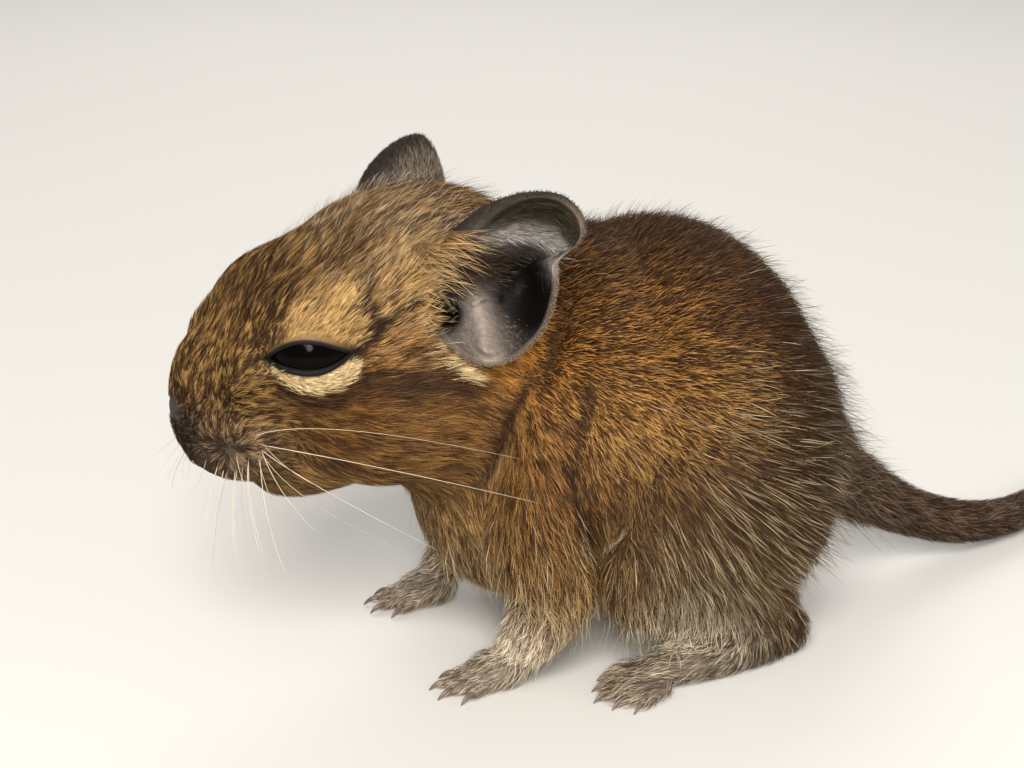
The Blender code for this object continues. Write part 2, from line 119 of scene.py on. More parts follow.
TAIL_PATH = (
    (21.0, 0.0, 11.4),
    (25.0, -0.2, 9.6),
    (29.0, -0.5, 7.2),
    (33.5, -0.7, 4.7),
    (38.5, -0.4, 2.8),
    (44.0, 0.8, 1.85),
    (49.5, 3.0, 1.70),
    (54.5, 6.2, 1.75),
    (58.5, 9.8, 1.70),
)
TAIL_RADIUS = (4.4, 3.6, 2.9, 2.4, 2.05, 1.85, 1.8, 1.85, 0.75)
TAIL_COAT = (1.9, 1.7, 1.3, 1.0, 0.8, 0.75, 0.8, 1.0, 0.4)


# ================================================================ frames
def head_matrix():
    pitch = math.radians(HEAD_PITCH)
    forward = Vector((-math.cos(pitch), 0.0, -math.sin(pitch)))
    up = Vector((-math.sin(pitch), 0.0, math.cos(pitch)))
    left = up.cross(forward)
    return Matrix.Translation(HEAD_ORIGIN) @ Matrix((forward, left, up)).transposed().to_4x4()


def ear_matrix(side):
    """Origin at the ear canal, x to the back of the ear, y to its top, z out of its cup."""
    canal, facing, lean = EAR_POSES[side]
    facing = Vector(facing).normalized()
    top = Vector((-math.sin(math.radians(lean)), 0.0, math.cos(math.radians(lean))))
    top = (top - facing * top.dot(facing)).normalized()
    back = top.cross(facing)
    local = Matrix.Translation(canal) @ Matrix((back, top, facing)).transposed().to_4x4()
    if side > 0:
        local = Matrix.Diagonal((1, -1, 1, 1)) @ local
    return head_matrix() @ local


HEAD = np.array(head_matrix())
HEAD_INV = np.linalg.inv(HEAD)
EARS = {side: np.array(ear_matrix(side)) for side in (-1, 1)}
# the far ear leans a little forward and is a little more closed
lean, hinge = math.radians(6.0), np.array((-0.5, 0.5, 0.0))
hold = np.eye(4)
hold[:2, :2] = np.array(((math.cos(lean), -math.sin(lean)), (math.sin(lean), math.cos(lean)))) @ np.diag((0.9, 0.95))
hold[:3, 3] = hinge - hold[:3, :3] @ hinge
EARS[1] = EARS[1] @ hold
EARS_INV = {side: np.linalg.inv(m) for side, m in EARS.items()}


def through(matrix, points):
    return points @ matrix[:3, :3].T + matrix[:3, 3]


def turn_by(matrix, vectors):
    return vectors @ matrix[:3, :3].T


def unit(v):
    return v / np.maximum(np.linalg.norm(v, axis=-1, keepdims=True), 1e-9)


def smoothstep(x, low, high):
    t = np.clip((x - low) / (high - low), 0.0, 1.0)
    return t * t * (3 - 2 * t)


def smooth_path(points, values, steps):
    places, along = [], []
    last = len(points) - 1
    for i in range(last):
        around = [
            (np.array(points[k]), np.array(values[k]))
            for k in (max(i - 1, 0), i, i + 1, min(i + 2, last))
        ]
        for step in range(steps + (i == last - 1)):
            t = step / steps
            w = (
                -0.5 * t + t * t - 0.5 * t**3,
                1 - 2.5 * t * t + 1.5 * t**3,
                0.5 * t + 2 * t * t - 1.5 * t**3,
                -0.5 * t * t + 0.5 * t**3,
            )
            places.append(sum(a * p for a, (p, _) in zip(w, around)))
            along.append(sum(a * v for a, (_, v) in zip(w, around)))
    return np.array(places), np.array(along)


# ================================================================ meshes
def link(mesh, name, mat=None):
    obj = bpy.data.objects.new(name, mesh)
    bpy.context.scene.collection.objects.link(obj)
    if mat:
        mesh.materials.clear()
        mesh.materials.append(mat)
    return obj


def array_mesh(name, points, loops, counts):
    mesh = bpy.data.meshes.new(name)
    mesh.vertices.add(len(points))
    mesh.vertices.foreach_set("co", np.ascontiguousarray(points, np.float32).ravel())
    mesh.loops.add(len(loops))
    mesh.loops.foreach_set("vertex_index", np.ascontiguousarray(loops, np.int32))
    mesh.polygons.add(len(counts))
    starts = np.cumsum(counts) - counts
    mesh.polygons.foreach_set("loop_start", starts.astype(np.int32))
    mesh.update(calc_edges=True)
    return mesh


def to_metres(points):
    return (points + SHIFT) * MM


def points_of(mesh):
    co = np.empty(len(mesh.vertices) * 3, np.float32)
    mesh.vertices.foreach_get("co", co)
    return co.reshape(-1, 3).astype(float)


def set_points(mesh, points):
    mesh.vertices.foreach_set("co", np.ascontiguousarray(points, np.float32).ravel())
    mesh.update()


def colour_points(mesh, colours, name="tint"):
    layer = mesh.color_attributes.new(name, "FLOAT_COLOR", "POINT")
    rgba = np.ones((len(mesh.vertices), 4), np.float32)
    rgba[:, :3] = colours
    layer.data.foreach_set("color", rgba.ravel())


def shade_smooth(mesh):
    mesh.polygons.foreach_set("use_smooth", np.ones(len(mesh.polygons), bool))


def add_mass(bm, frame_matrix, centre, radii, turn, depth=0.0, detail=4):
    angles = Euler([math.radians(a) for a in turn])
    radii = [max(r - depth, 0.25) for r in radii]
    matrix = (
        frame_matrix
        @ Matrix.Translation(centre)
        @ angles.to_matrix().to_4x4()
        @ Matrix.Diagonal((*radii, 1.0))
    )
    bmesh.ops.create_icosphere(bm, subdivisions=detail, radius=1.0, matrix=matrix)


def both_sides(centre, turn):
    for side in (-1, 1):
        yield (centre[0], side * centre[1], centre[2]), (side * turn[0], turn[1], side * turn[2])


def fused(mesh, voxel, smooth):
    """One closed surface round overlapping shapes, in millimetres."""
    obj = link(mesh, "fuse")
    remesh = obj.modifiers.new("fuse", "REMESH")
    remesh.mode = "VOXEL"
    remesh.voxel_size = voxel
    remesh.adaptivity = 0.0
    if smooth:
        soften = obj.modifiers.new("soften", "SMOOTH")
        soften.factor = 0.5
        soften.iterations = smooth
    graph = bpy.context.evaluated_depsgraph_get()
    graph.update()
    made = bpy.data.meshes.new_from_object(obj.evaluated_get(graph))
    bpy.data.objects.remove(obj)
    return made


def mesh_of(bm, name):
    mesh = bpy.data.meshes.new(name)
    bm.normal_update()
    bm.to_mesh(mesh)
    bm.free()
    return mesh


def tube_arrays(path, radii, sides, squash=1.0, up=(0, 0, 1), close=False):
    """Points, loops and counts of a capped tube along a path."""
    path, radii = np.asarray(path, float), np.asarray(radii, float)
    if close:
        ahead, before = np.roll(path, -1, 0), np.roll(path, 1, 0)
        tangent = unit(ahead - before)
    else:
        tangent = unit(np.gradient(path, axis=0))
    side = unit(np.cross(tangent, np.asarray(up, float)))
    over = np.cross(side, tangent)
    angle = np.arange(sides) * 2 * np.pi / sides
    ring = (
        side[:, None] * np.cos(angle)[None, :, None]
        + over[:, None] * (squash * np.sin(angle))[None, :, None]
    )
    points = path[:, None] + ring * radii[:, None, None]
    n, idx = len(path), np.arange(len(path) * sides).reshape(len(path), sides)
    nxt = np.roll(idx, -1, 1)
    rows = [(idx[i], nxt[i], nxt[(i + 1) % n], idx[(i + 1) % n]) for i in range(n if close else n - 1)]
    quads = np.concatenate([np.stack(r, 1) for r in rows])
    loops, counts = [quads.ravel()], [np.full(len(quads), 4)]
    if not close:
        loops += [idx[0][::-1], idx[-1]]
        counts += [np.array([sides]), np.array([sides])]
    return points.reshape(-1, 3), np.concatenate(loops), np.concatenate(counts)


def join_arrays(parts):
    points, loops, counts, base = [], [], [], 0
    for p, l, c in parts:
        points.append(p)
        loops.append(l + base)
        counts.append(c)
        base += len(p)
    return np.concatenate(points), np.concatenate(loops), np.concatenate(counts)


# ================================================================ the skin's form
def add_digits(bm, side, root, count, length, radius, spread, heading):
    claws = []
    for i in range(count):
        share = i / (count - 1) - 0.5
        angle = math.radians(heading + share * spread)
        size = 1.0 - 0.30 * abs(2 * share) ** 1.6
        reach = length * size
        away = Vector((-math.cos(angle), side * math.sin(angle), 0.0))
        base = Vector((root[0], side * root[1], radius * 0.95))
        base += Vector((0.5 * abs(2 * share), side * share * 2.1 * radius * (count - 1) * 0.5, 0))
        turn = (0, 0, math.degrees(math.atan2(away.y, away.x)))
        # three little joints and a pad under the last one
        for along, long, thick, lift in (
            (0.12, 0.30, 0.86, 0.12),
            (0.46, 0.26, 0.78, 0.16),
            (0.76, 0.22, 0.70, -0.06),
        ):
            spot = base + away * (along * reach)
            spot.z = radius * (0.86 + lift)
            add_mass(bm, Matrix.Identity(4), spot, (long * reach, thick * radius, thick * radius), turn, 0, 3)
        pad = base + away * (0.86 * reach)
        pad.z = radius * 0.52
        add_mass(bm, Matrix.Identity(4), pad, (0.17 * reach, 0.60 * radius, 0.5 * radius), turn, 0, 3)
        claws.append((np.array(base + away * (0.90 * reach)), np.array(away), reach, radius))
    return claws


def build_skin():
    note("flesh")
    bm = bmesh.new()
    head, body = head_matrix(), Matrix.Identity(4)
    for masses, where in ((HEAD_MASSES, head), (BODY_MASSES, body)):
        for centre, radii, turn, depth in masses:
            add_mass(bm, where, centre, radii, turn, depth)
    for masses, where in ((HEAD_PAIRS, head), (BODY_PAIRS, body)):
        for centre, radii, turn, depth in masses:
            for place, angles in both_sides(centre, turn):
                add_mass(bm, where, place, radii, angles, depth)
    flesh = fused(mesh_of(bm, "flesh"), 0.5, 22)

    bm = bmesh.new()
    bm.from_mesh(flesh)
    for centre, radii, turn, depth in (FOREARM, WRIST, PALM, HEEL, SOLE, INSTEP):
        for place, angles in both_sides(centre, turn):
            add_mass(bm, body, place, radii, angles, depth, 3)
    claws = []
    for side in (-1, 1):
        hand = (PALM[0][0] - 1.2, PALM[0][1])
        for claw in add_digits(bm, side, hand, FINGERS, FINGER_LENGTH, FINGER_RADIUS, FINGER_SPREAD, 2):
            claws.append((*claw, "hand"))
        for claw in add_digits(bm, side, FOOT_FRONT, TOES, TOE_LENGTH, TOE_RADIUS, TOE_SPREAD, 9):
            claws.append((*claw, "foot"))
    mesh = mesh_of(bm, "form")
    path, radius = smooth_path(TAIL_PATH, np.array(TAIL_RADIUS) - np.array(TAIL_COAT), 6)
    tail = array_mesh("tail", *tube_arrays(path, radius, 20))
    bm = bmesh.new()
    bm.from_mesh(mesh)
    bm.from_mesh(tail)
    note("remesh")
    skin = fused(mesh_of(bm, "form"), 0.34, 3)
    note(f"skin of {len(skin.polygons)} faces")
    return skin, claws


def refine(mesh, wanted):
    """Splits the faces whose middle is wanted into four, once."""
    bm = bmesh.new()
    bm.from_mesh(mesh)
    bm.faces.ensure_lookup_table()
    middles = np.array([f.calc_center_median() for f in bm.faces])
    chosen = wanted(middles)
    edges = {e for f, take in zip(bm.faces, chosen) if take for e in f.edges}
    bmesh.ops.subdivide_edges(bm, edges=list(edges), cuts=1, use_grid_fill=True, smooth=0.0)
    bm.to_mesh(mesh)
    bm.free()
    mesh.update()


def relax(mesh, chosen, times):
    """Evens out the chosen points between their neighbours."""
    points = points_of(mesh)
    edges = np.empty(len(mesh.edges) * 2, np.int32)
    mesh.edges.foreach_get("vertices", edges)
    edges = edges.reshape(-1, 2)
    keep = chosen[edges[:, 0]] | chosen[edges[:, 1]]
    edges = edges[keep]
    count = np.bincount(edges.ravel(), minlength=len(points)).astype(float)[:, None]
    for _ in range(times):
        total = np.zeros_like(points)
        for axis in range(3):
            total[:, axis] = np.bincount(
                edges[:, 0], points[edges[:, 1], axis], len(points)
            ) + np.bincount(edges[:, 1], points[edges[:, 0], axis], len(points))
        mean = total / np.maximum(count, 1)
        points[chosen] = 0.5 * points[chosen] + 0.5 * mean[chosen]
    set_points(mesh, points)


# ---------------------------------------------------------------- eyes
# Each eye's own frame, in the head's: out of the eye, along the lids to the inner corner, and up
EYE_OUT = unit(np.array((0.292, 0.927, 0.233)))
EYE_ALONG = np.array((0.904, -0.336, 0.264))
EYE_ALONG = unit(EYE_ALONG - EYE_OUT * (EYE_ALONG @ EYE_OUT))
EYE_UP = np.cross(EYE_ALONG, EYE_OUT)
LID_HALF = 2.75
LID_UPPER, LID_LOWER = 1.06, 0.98
LID_THICK = 0.20


def lid_curves(s):
    """Heights of the upper and the lower lid's edge at a share s of the way to the inner corner."""
    s = np.clip(s, -1, 1)
    line = -0.136 * s * s
    upper = line + LID_UPPER * (1 - s * s) * (1 + 0.2 * s)
    lower = line - LID_LOWER * (1 - s * s) * (1 - 0.2 * s)
    return upper, lower


def lid_outline(count):
    """Closed ring of points in the lids' plane, and 1 on the upper lid, -1 on the lower."""
    t = np.cos(np.linspace(0, np.pi, count // 2 + 1))
    upper, _ = lid_curves(t)
    _, lower = lid_curves(t)
    ring = [np.stack((LID_HALF * t, upper), 1), np.stack((LID_HALF * t, lower), 1)[::-1][1:-1]]
    which = np.concatenate((np.ones(len(ring[0])), -np.ones(len(ring[1]))))
    return np.concatenate(ring), which


def to_eye(head_points, side):
    """Head-frame points in the eye's frame: along, up, out."""
    q = head_points * np.array((1, -side, 1)) - EYE_CENTRE
    return np.stack((q @ EYE_ALONG, q @ EYE_UP, q @ EYE_OUT), -1)


def from_eye(q, side):
    p = EYE_CENTRE + q[..., :1] * EYE_ALONG + q[..., 1:2] * EYE_UP + q[..., 2:3] * EYE_OUT
    return p * np.array((1, -side, 1))


def near_lids(q):
    """Distance in the lids' plane to their edge, and whether a point is inside the opening."""
    ring, _ = lid_outline(96)
    flat = q[:, :2]
    distance = np.full(len(q), 9.0)
    for a, b in zip(ring, np.roll(ring, -1, 0)):
        ab = b - a
        t = np.clip(((flat - a) @ ab) / (ab @ ab + 1e-12), 0, 1)
        distance = np.minimum(distance, np.linalg.norm(flat - a - t[:, None] * ab, axis=1))
    upper, lower = lid_curves(flat[:, 0] / LID_HALF)
    inside = (np.abs(flat[:, 0]) < LID_HALF) & (flat[:, 1] < upper) & (flat[:, 1] > lower)
    return distance, inside


def sphere_height(rho, radius):
    return np.sqrt(np.maximum(radius * radius - rho * rho, 0.0))


def work_eye(points, side):
    """Lids closed round the ball, with the opening pushed in behind it."""
    h = through(HEAD_INV, points)
    q = to_eye(h, side)
    near = (np.linalg.norm(q, axis=1) < 6.5) & (q[:, 2] > -0.6)
    q = q[near]
    distance, inside = near_lids(q)
    rho = np.linalg.norm(q[:, :2], axis=1)
    ball = np.where(rho < 2.9, sphere_height(rho, EYE_RADIUS + LID_THICK), 0.0)
    ball = np.where(rho < 2.9, ball, sphere_height(2.9, EYE_RADIUS + LID_THICK) - 1.3 * (rho - 2.9))
    own = q[:, 2]
    k = 1.1  # a soft join of lid and cheek
    blend = np.clip(0.5 + 0.5 * (ball - own) / k, 0, 1)
    joined = own * (1 - blend) + ball * blend + k * blend * (1 - blend)
    # a shallow fold above the upper lid
    fold = np.exp(-(((distance - 1.15) / 0.28) ** 2)) * (q[:, 1] > 0.2) * 0.10
    edge = 1.0 - smoothstep(distance, 0.1, 1.3)
    height = joined * (1 - edge) + ball * edge - fold
    inner = sphere_height(np.minimum(rho, 2.8), EYE_RADIUS) - 0.9 * smoothstep(distance, 0.02, 0.35) - 0.12
    q[:, 2] = np.where(inside, inner, height)
    h[near] = from_eye(q, side)
    return through(HEAD, h)


# ---------------------------------------------------------------- muzzle
NOSTRIL = np.array((9.0, 1.15, -2.9))
MOUTH = np.array(
    ((9.4, 0.0, -7.1), (8.7, 1.2, -7.5), (7.4, 2.6, -8.0), (5.6, 3.7, -8.4), (3.8, 4.3, -8.5))
)


def polyline_distance(points, line):
    best = np.full(len(points), 1e9)
    where = np.zeros(len(points))
    for i, (a, b) in enumerate(zip(line, line[1:])):
        ab = b - a
        t = np.clip(((points - a) @ ab) / (ab @ ab), 0, 1)
        d = np.linalg.norm(points - a - t[:, None] * ab, axis=1)
        where = np.where(d < best, i + t, where)
        best = np.minimum(best, d)
    return best, where / (len(line) - 1)


def muzzle_moves(h, normals):
    """Inward and outward moves along the skin's normal, head frame."""
    m = h * np.array((1, 1, 1))
    m[:, 1] = np.abs(m[:, 1])
    move = np.zeros(len(h))
    front = smoothstep(h[:, 0], 2.0, 4.0)
    # bare pad between the nostrils and the wings round them
    move += 0.30 * np.exp(-(((h[:, 0] - 9.3) / 1.6) ** 2 + (h[:, 1] / 0.95) ** 2 + ((h[:, 2] + 2.6) / 0.95) ** 2))
    d = np.linalg.norm((m - NOSTRIL - np.array((0, 0.55, 0.25))) * np.array((0.6, 1.0, 1.0)), axis=1)
    move += 0.20 * np.exp(-((d / 0.55) ** 2))
    slit = polyline_distance(
        m * np.array((0.45, 1, 1)),
        np.array(((9.0, 0.78, -3.15), (9.0, 1.25, -2.95), (8.8, 1.70, -2.45))) * np.array((0.45, 1, 1)),
    )[0]
    move -= 0.62 * np.exp(-((slit / 0.27) ** 2))
    # groove under the nose, and the lips' line
    groove = np.exp(-((h[:, 1] / 0.26) ** 2)) * smoothstep(-h[:, 2], 3.3, 4.0) * (1 - smoothstep(-h[:, 2], 7.0, 7.6))
    move -= 0.34 * groove * smoothstep(h[:, 0], 6.5, 8.0)
    lips, along = polyline_distance(m, MOUTH)
    move -= 0.42 * np.exp(-((lips / 0.30) ** 2)) * (1 - 0.5 * along)
    move += 0.16 * np.exp(-(((lips - 0.75) / 0.45) ** 2)) * (1 - along) * (h[:, 2] > -9)
    return move * front


# ---------------------------------------------------------------- ears
# Edge of the ear in its own plane: to the back, to the top, out of the cup, and the rolled rim's width
EAR_RIM = (
    (6.95, 1.9, -0.6, 0.42),
    (6.75, 3.5, -0.4, 0.42),
    (6.40, 4.8, 0.0, 0.42),
    (6.15, 5.6, 0.25, 0.45),  # notch
    (6.60, 6.5, 0.4, 0.45),
    (7.05, 7.4, 0.5, 0.42),
    (6.95, 8.3, 0.4, 0.42),
    (6.20, 9.15, 0.2, 0.42),
    (4.90, 9.6, 0.1, 0.42),
    (3.60, 9.4, 0.05, 0.45),
    (2.30, 8.8, 0.1, 0.60),
    (1.10, 7.9, 0.2, 0.95),
    (0.10, 6.8, 0.3, 1.20),  # the front of the rim rolls in
    (-0.70, 5.5, 0.25, 1.30),
    (-1.25, 4.1, -0.1, 1.10),
    (-1.40, 2.6, -0.7, 0.80),
    (-1.30, 1.0, -1.1, 0.60),
    (-0.80, -0.5, -1.2, 0.50),
    (-0.10, -1.6, -1.2, 0.50),
    (0.90, -2.35, -1.0, 0.50),
    (2.00, -2.75, -0.8, 0.50),
    (3.25, -2.90, -0.5, 0.50),
    (4.60, -2.65, -0.4, 0.50),
    (5.70, -1.8, -0.5, 0.45),
    (6.40, -0.6, -0.6, 0.42),
    (6.85, 0.6, -0.65, 0.42),
)
EAR_HUB = np.array((3.0, 2.2))
EAR_CUP = 4.1
EAR_RIDGE = np.array(((1.6, 5.0), (3.0, 5.8), (4.6, 6.2), (5.7, 5.9), (6.3, 5.3)))
EAR_LOBE = np.array(((2.0, 0.6), (2.7, -0.2), (3.4, -1.0), (4.2, -2.0)))
EAR_FOLD = np.array(((1.9, 0.5), (2.5, 1.1), (3.3, 1.1)))
EAR_CANAL = (0.75, -0.9)


def closed_path(points, steps):
    p = np.array(points, float)
    a, b, c, d = np.roll(p, 1, 0), p, np.roll(p, -1, 0), np.roll(p, -2, 0)
    t = (np.arange(steps) / steps)[None, :, None]
    a, b, c, d = (v[:, None] for v in (a, b, c, d))
    curve = 0.5 * (2 * b + (c - a) * t + (2 * a - 5 * b + 4 * c - d) * t**2 + (3 * b - a - 3 * c + d) * t**3)
    return curve.reshape(-1, p.shape[1])


EAR_EDGE = closed_path(EAR_RIM, 12)
EAR_EDGE = np.concatenate((EAR_EDGE, EAR_EDGE[:1]))
EAR_HEADING = np.unwrap(np.arctan2(EAR_EDGE[:, 1] - EAR_HUB[1], EAR_EDGE[:, 0] - EAR_HUB[0]))
EAR_REACH = np.linalg.norm(EAR_EDGE[:, :2] - EAR_HUB, axis=1)


def ear_edge(heading):
    """Reach of the outer edge, height of the rim and width of its roll on a heading from the hub."""
    h = (heading - EAR_HEADING[0]) % (2 * np.pi) + EAR_HEADING[0]
    return tuple(np.interp(h, EAR_HEADING, v) for v in (EAR_REACH, EAR_EDGE[:, 2], EAR_EDGE[:, 3]))


def ear_polar(x, y):
    return np.hypot(x - EAR_HUB[0], y - EAR_HUB[1]), np.arctan2(y - EAR_HUB[1], x - EAR_HUB[0])


def ear_share(q, room=0.0):
    """Share of the way from the hub to the outer edge of points in the ear's frame."""
    far, heading = ear_polar(q[..., 0], q[..., 1])
    return far / (ear_edge(heading)[0] + room)


def bump_at(x, y, cx, cy, rx, ry, turn=0.0):
    c, s = math.cos(math.radians(turn)), math.sin(math.radians(turn))
    u, v = (x - cx) * c + (y - cy) * s, -(x - cx) * s + (y - cy) * c
    return np.exp(-((u / rx) ** 2 + (v / ry) ** 2))


def along_line(x, y, line, half):
    shape = np.shape(x)
    d, where = polyline_distance(np.stack((np.ravel(x), np.ravel(y)), 1), line)
    return np.exp(-((d / half) ** 2)).reshape(shape), where.reshape(shape)


def ear_relief(x, y):
    """Folds on the inner face."""
    ridge, where = along_line(x, y, EAR_RIDGE, 0.62)
    relief = ridge * (0.9 + 0.9 * np.sin(np.pi * np.clip(where * 0.9 + 0.1, 0, 1)))
    relief -= 0.35 * bump_at(x, y, 3.4, 7.6, 2.6, 0.8, 6)  # hollow over the ridge
    relief -= 1.15 * bump_at(x, y, 4.9, 2.7, 1.35, 1.9, 12)  # the deep shell
    relief += 0.55 * bump_at(x, y, 1.3, 3.6, 1.0, 1.2)
    lobe, where = along_line(x, y, EAR_LOBE, 0.85)
    relief += lobe * (0.9 + 1.1 * where)  # pale lobe at the bottom
    relief += 0.45 * along_line(x, y, EAR_FOLD, 0.24)[0]
    relief += 0.45 * bump_at(x, y, 1.2, -2.3, 0.9, 0.45)
    return relief


def ear_floor(x, y):
    """Height of the inner face over the ear's plane, and the share of the way to its inner edge."""
    far, heading = ear_polar(x, y)
    reach, rim, roll = ear_edge(heading)
    s = np.clip(far / (reach - roll), 0, 1)
    z = rim * s**3 - EAR_CUP * (1 - s**2.4)
    z = z + ear_relief(x, y) * (1 - smoothstep(s, 0.84, 1.0))
    z = z - 2.1 * bump_at(x, y, *EAR_CANAL, 0.5, 0.62, 25) * (1 - smoothstep(s, 0.93, 1.0))
    return z, s


def ear_back(x, y):
    """Height of the outer face."""
    far, heading = ear_polar(x, y)
    reach, rim, roll = ear_edge(heading)
    s = np.clip(far / reach, 0, 1)
    z = rim * s**3 - EAR_CUP * (1 - s**2.1) - 0.30 - 0.55 * (1 - s) - 0.15 * roll
    return np.minimum(z, ear_floor(x, y)[0] - 0.28)


def sink_under_ears(points):
    """Presses the skin down below each ear's cup."""
    for side in (-1, 1):
        q = through(EARS_INV[side], points)
        near = (np.abs(q[:, 0] - 3) < 8) & (np.abs(q[:, 1] - 3) < 9) & (np.abs(q[:, 2] + 2) < 6)
        part = q[near]
        share = ear_share(part)
        below = ear_floor(part[:, 0], part[:, 1])[0] - 0.55
        inside = 1 - smoothstep(share, 0.98, 1.09)
        part[:, 2] = np.where(part[:, 2] > below, part[:, 2] * (1 - inside) + below * inside, part[:, 2])
        q[near] = part
        points = through(EARS[side], q)
    return points


def ear_point(flat, z):
    return np.concatenate((flat, z[..., None]), -1)


def build_ear(side, name, mat):
    rings, spokes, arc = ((46, 132, 5))
    heading = np.arange(spokes) * 2 * np.pi / spokes
    away = np.stack((np.cos(heading), np.sin(heading)), 1)
    reach, rim, roll = ear_edge(heading)
    rows = []
    for s in 1 - (1 - np.linspace(0, 1, rings + 1)[1:]) ** 1.25:
        flat = EAR_HUB + away * ((reach - roll) * s)[:, None]
        rows.append(ear_point(flat, ear_floor(flat[:, 0], flat[:, 1])[0]))
    last, edge = rows[-1], EAR_HUB + away * reach[:, None]
    first_back = ear_back(edge[:, 0], edge[:, 1])
    for k in range(1, arc + 1):  # over the top of the rolled rim
        turn = math.pi * k / (arc + 1)
        flat = EAR_HUB + away * (reach - roll * (1 + math.cos(turn)) / 2)[:, None]
        lift = rim + (0.10 + 0.24 * roll) * math.sin(turn) + (first_back - rim) * (1 - math.cos(turn)) / 2
        rows.append(ear_point(flat, lift))
    for s in np.linspace(0, 1, rings // 2 + 1)[1:][::-1] ** 0.8:
        flat = EAR_HUB + away * (reach * s)[:, None]
        rows.append(ear_point(flat, ear_back(flat[:, 0], flat[:, 1])))
    hub_z = float(ear_floor(*EAR_HUB)[0])
    points = np.concatenate(
        [[[*EAR_HUB, hub_z]]] + rows + [[[*EAR_HUB, float(ear_back(*EAR_HUB))]]]
    )
    count = len(rows)

    def ring(r):
        return 1 + r * spokes + np.arange(spokes)

    loops, counts = [], []
    for r in range(count - 1):
        a, b = ring(r), ring(r + 1)
        quad = np.stack((a, b, np.roll(b, -1), np.roll(a, -1)), 1)
        loops.append(quad.ravel())
        counts.append(np.full(len(quad), 4))
    for tip, row in ((0, ring(0)), (len(points) - 1, ring(count - 1)[::-1])):
        tri = np.stack((np.full(spokes, tip), row, np.roll(row, -1)), 1)
        loops.append(tri.ravel())
        counts.append(np.full(len(tri), 3))
    mesh = array_mesh(
        name, to_metres(through(EARS[side], points)), np.concatenate(loops), np.concatenate(counts)
    )
    bm = bmesh.new()
    bm.from_mesh(mesh)
    bmesh.ops.recalc_face_normals(bm, faces=bm.faces)
    bm.to_mesh(mesh)
    bm.free()
    shade_smooth(mesh)
    return link(mesh, name, mat)


# ================================================================ colours
def srgb(*c):
    c = np.array(c, float) / 255
    return np.where(c <= 0.04045, c / 12.92, ((c + 0.055) / 1.055) ** 2.4)


UMBER = srgb(46, 30, 19)
SOOT = srgb(30, 25, 22)
CHESTNUT = srgb(112, 72, 36)
RUSSET = srgb(170, 118, 58)
ORANGE = srgb(200, 134, 58)
GOLD = srgb(202, 158, 92)
TAN = srgb(184, 142, 88)
FAWN = srgb(222, 182, 118)
BEIGE = srgb(220, 188, 134)
DUN = srgb(190, 162, 124)
CREAM = srgb(252, 226, 178)
BISTRE = srgb(84, 58, 34)
OCHRE = srgb(150, 110, 60)
TAUPE = srgb(126, 106, 88)
MAUVE = srgb(84, 68, 62)
ASH = srgb(150, 126, 84)
SILVER = srgb(226, 214, 192)

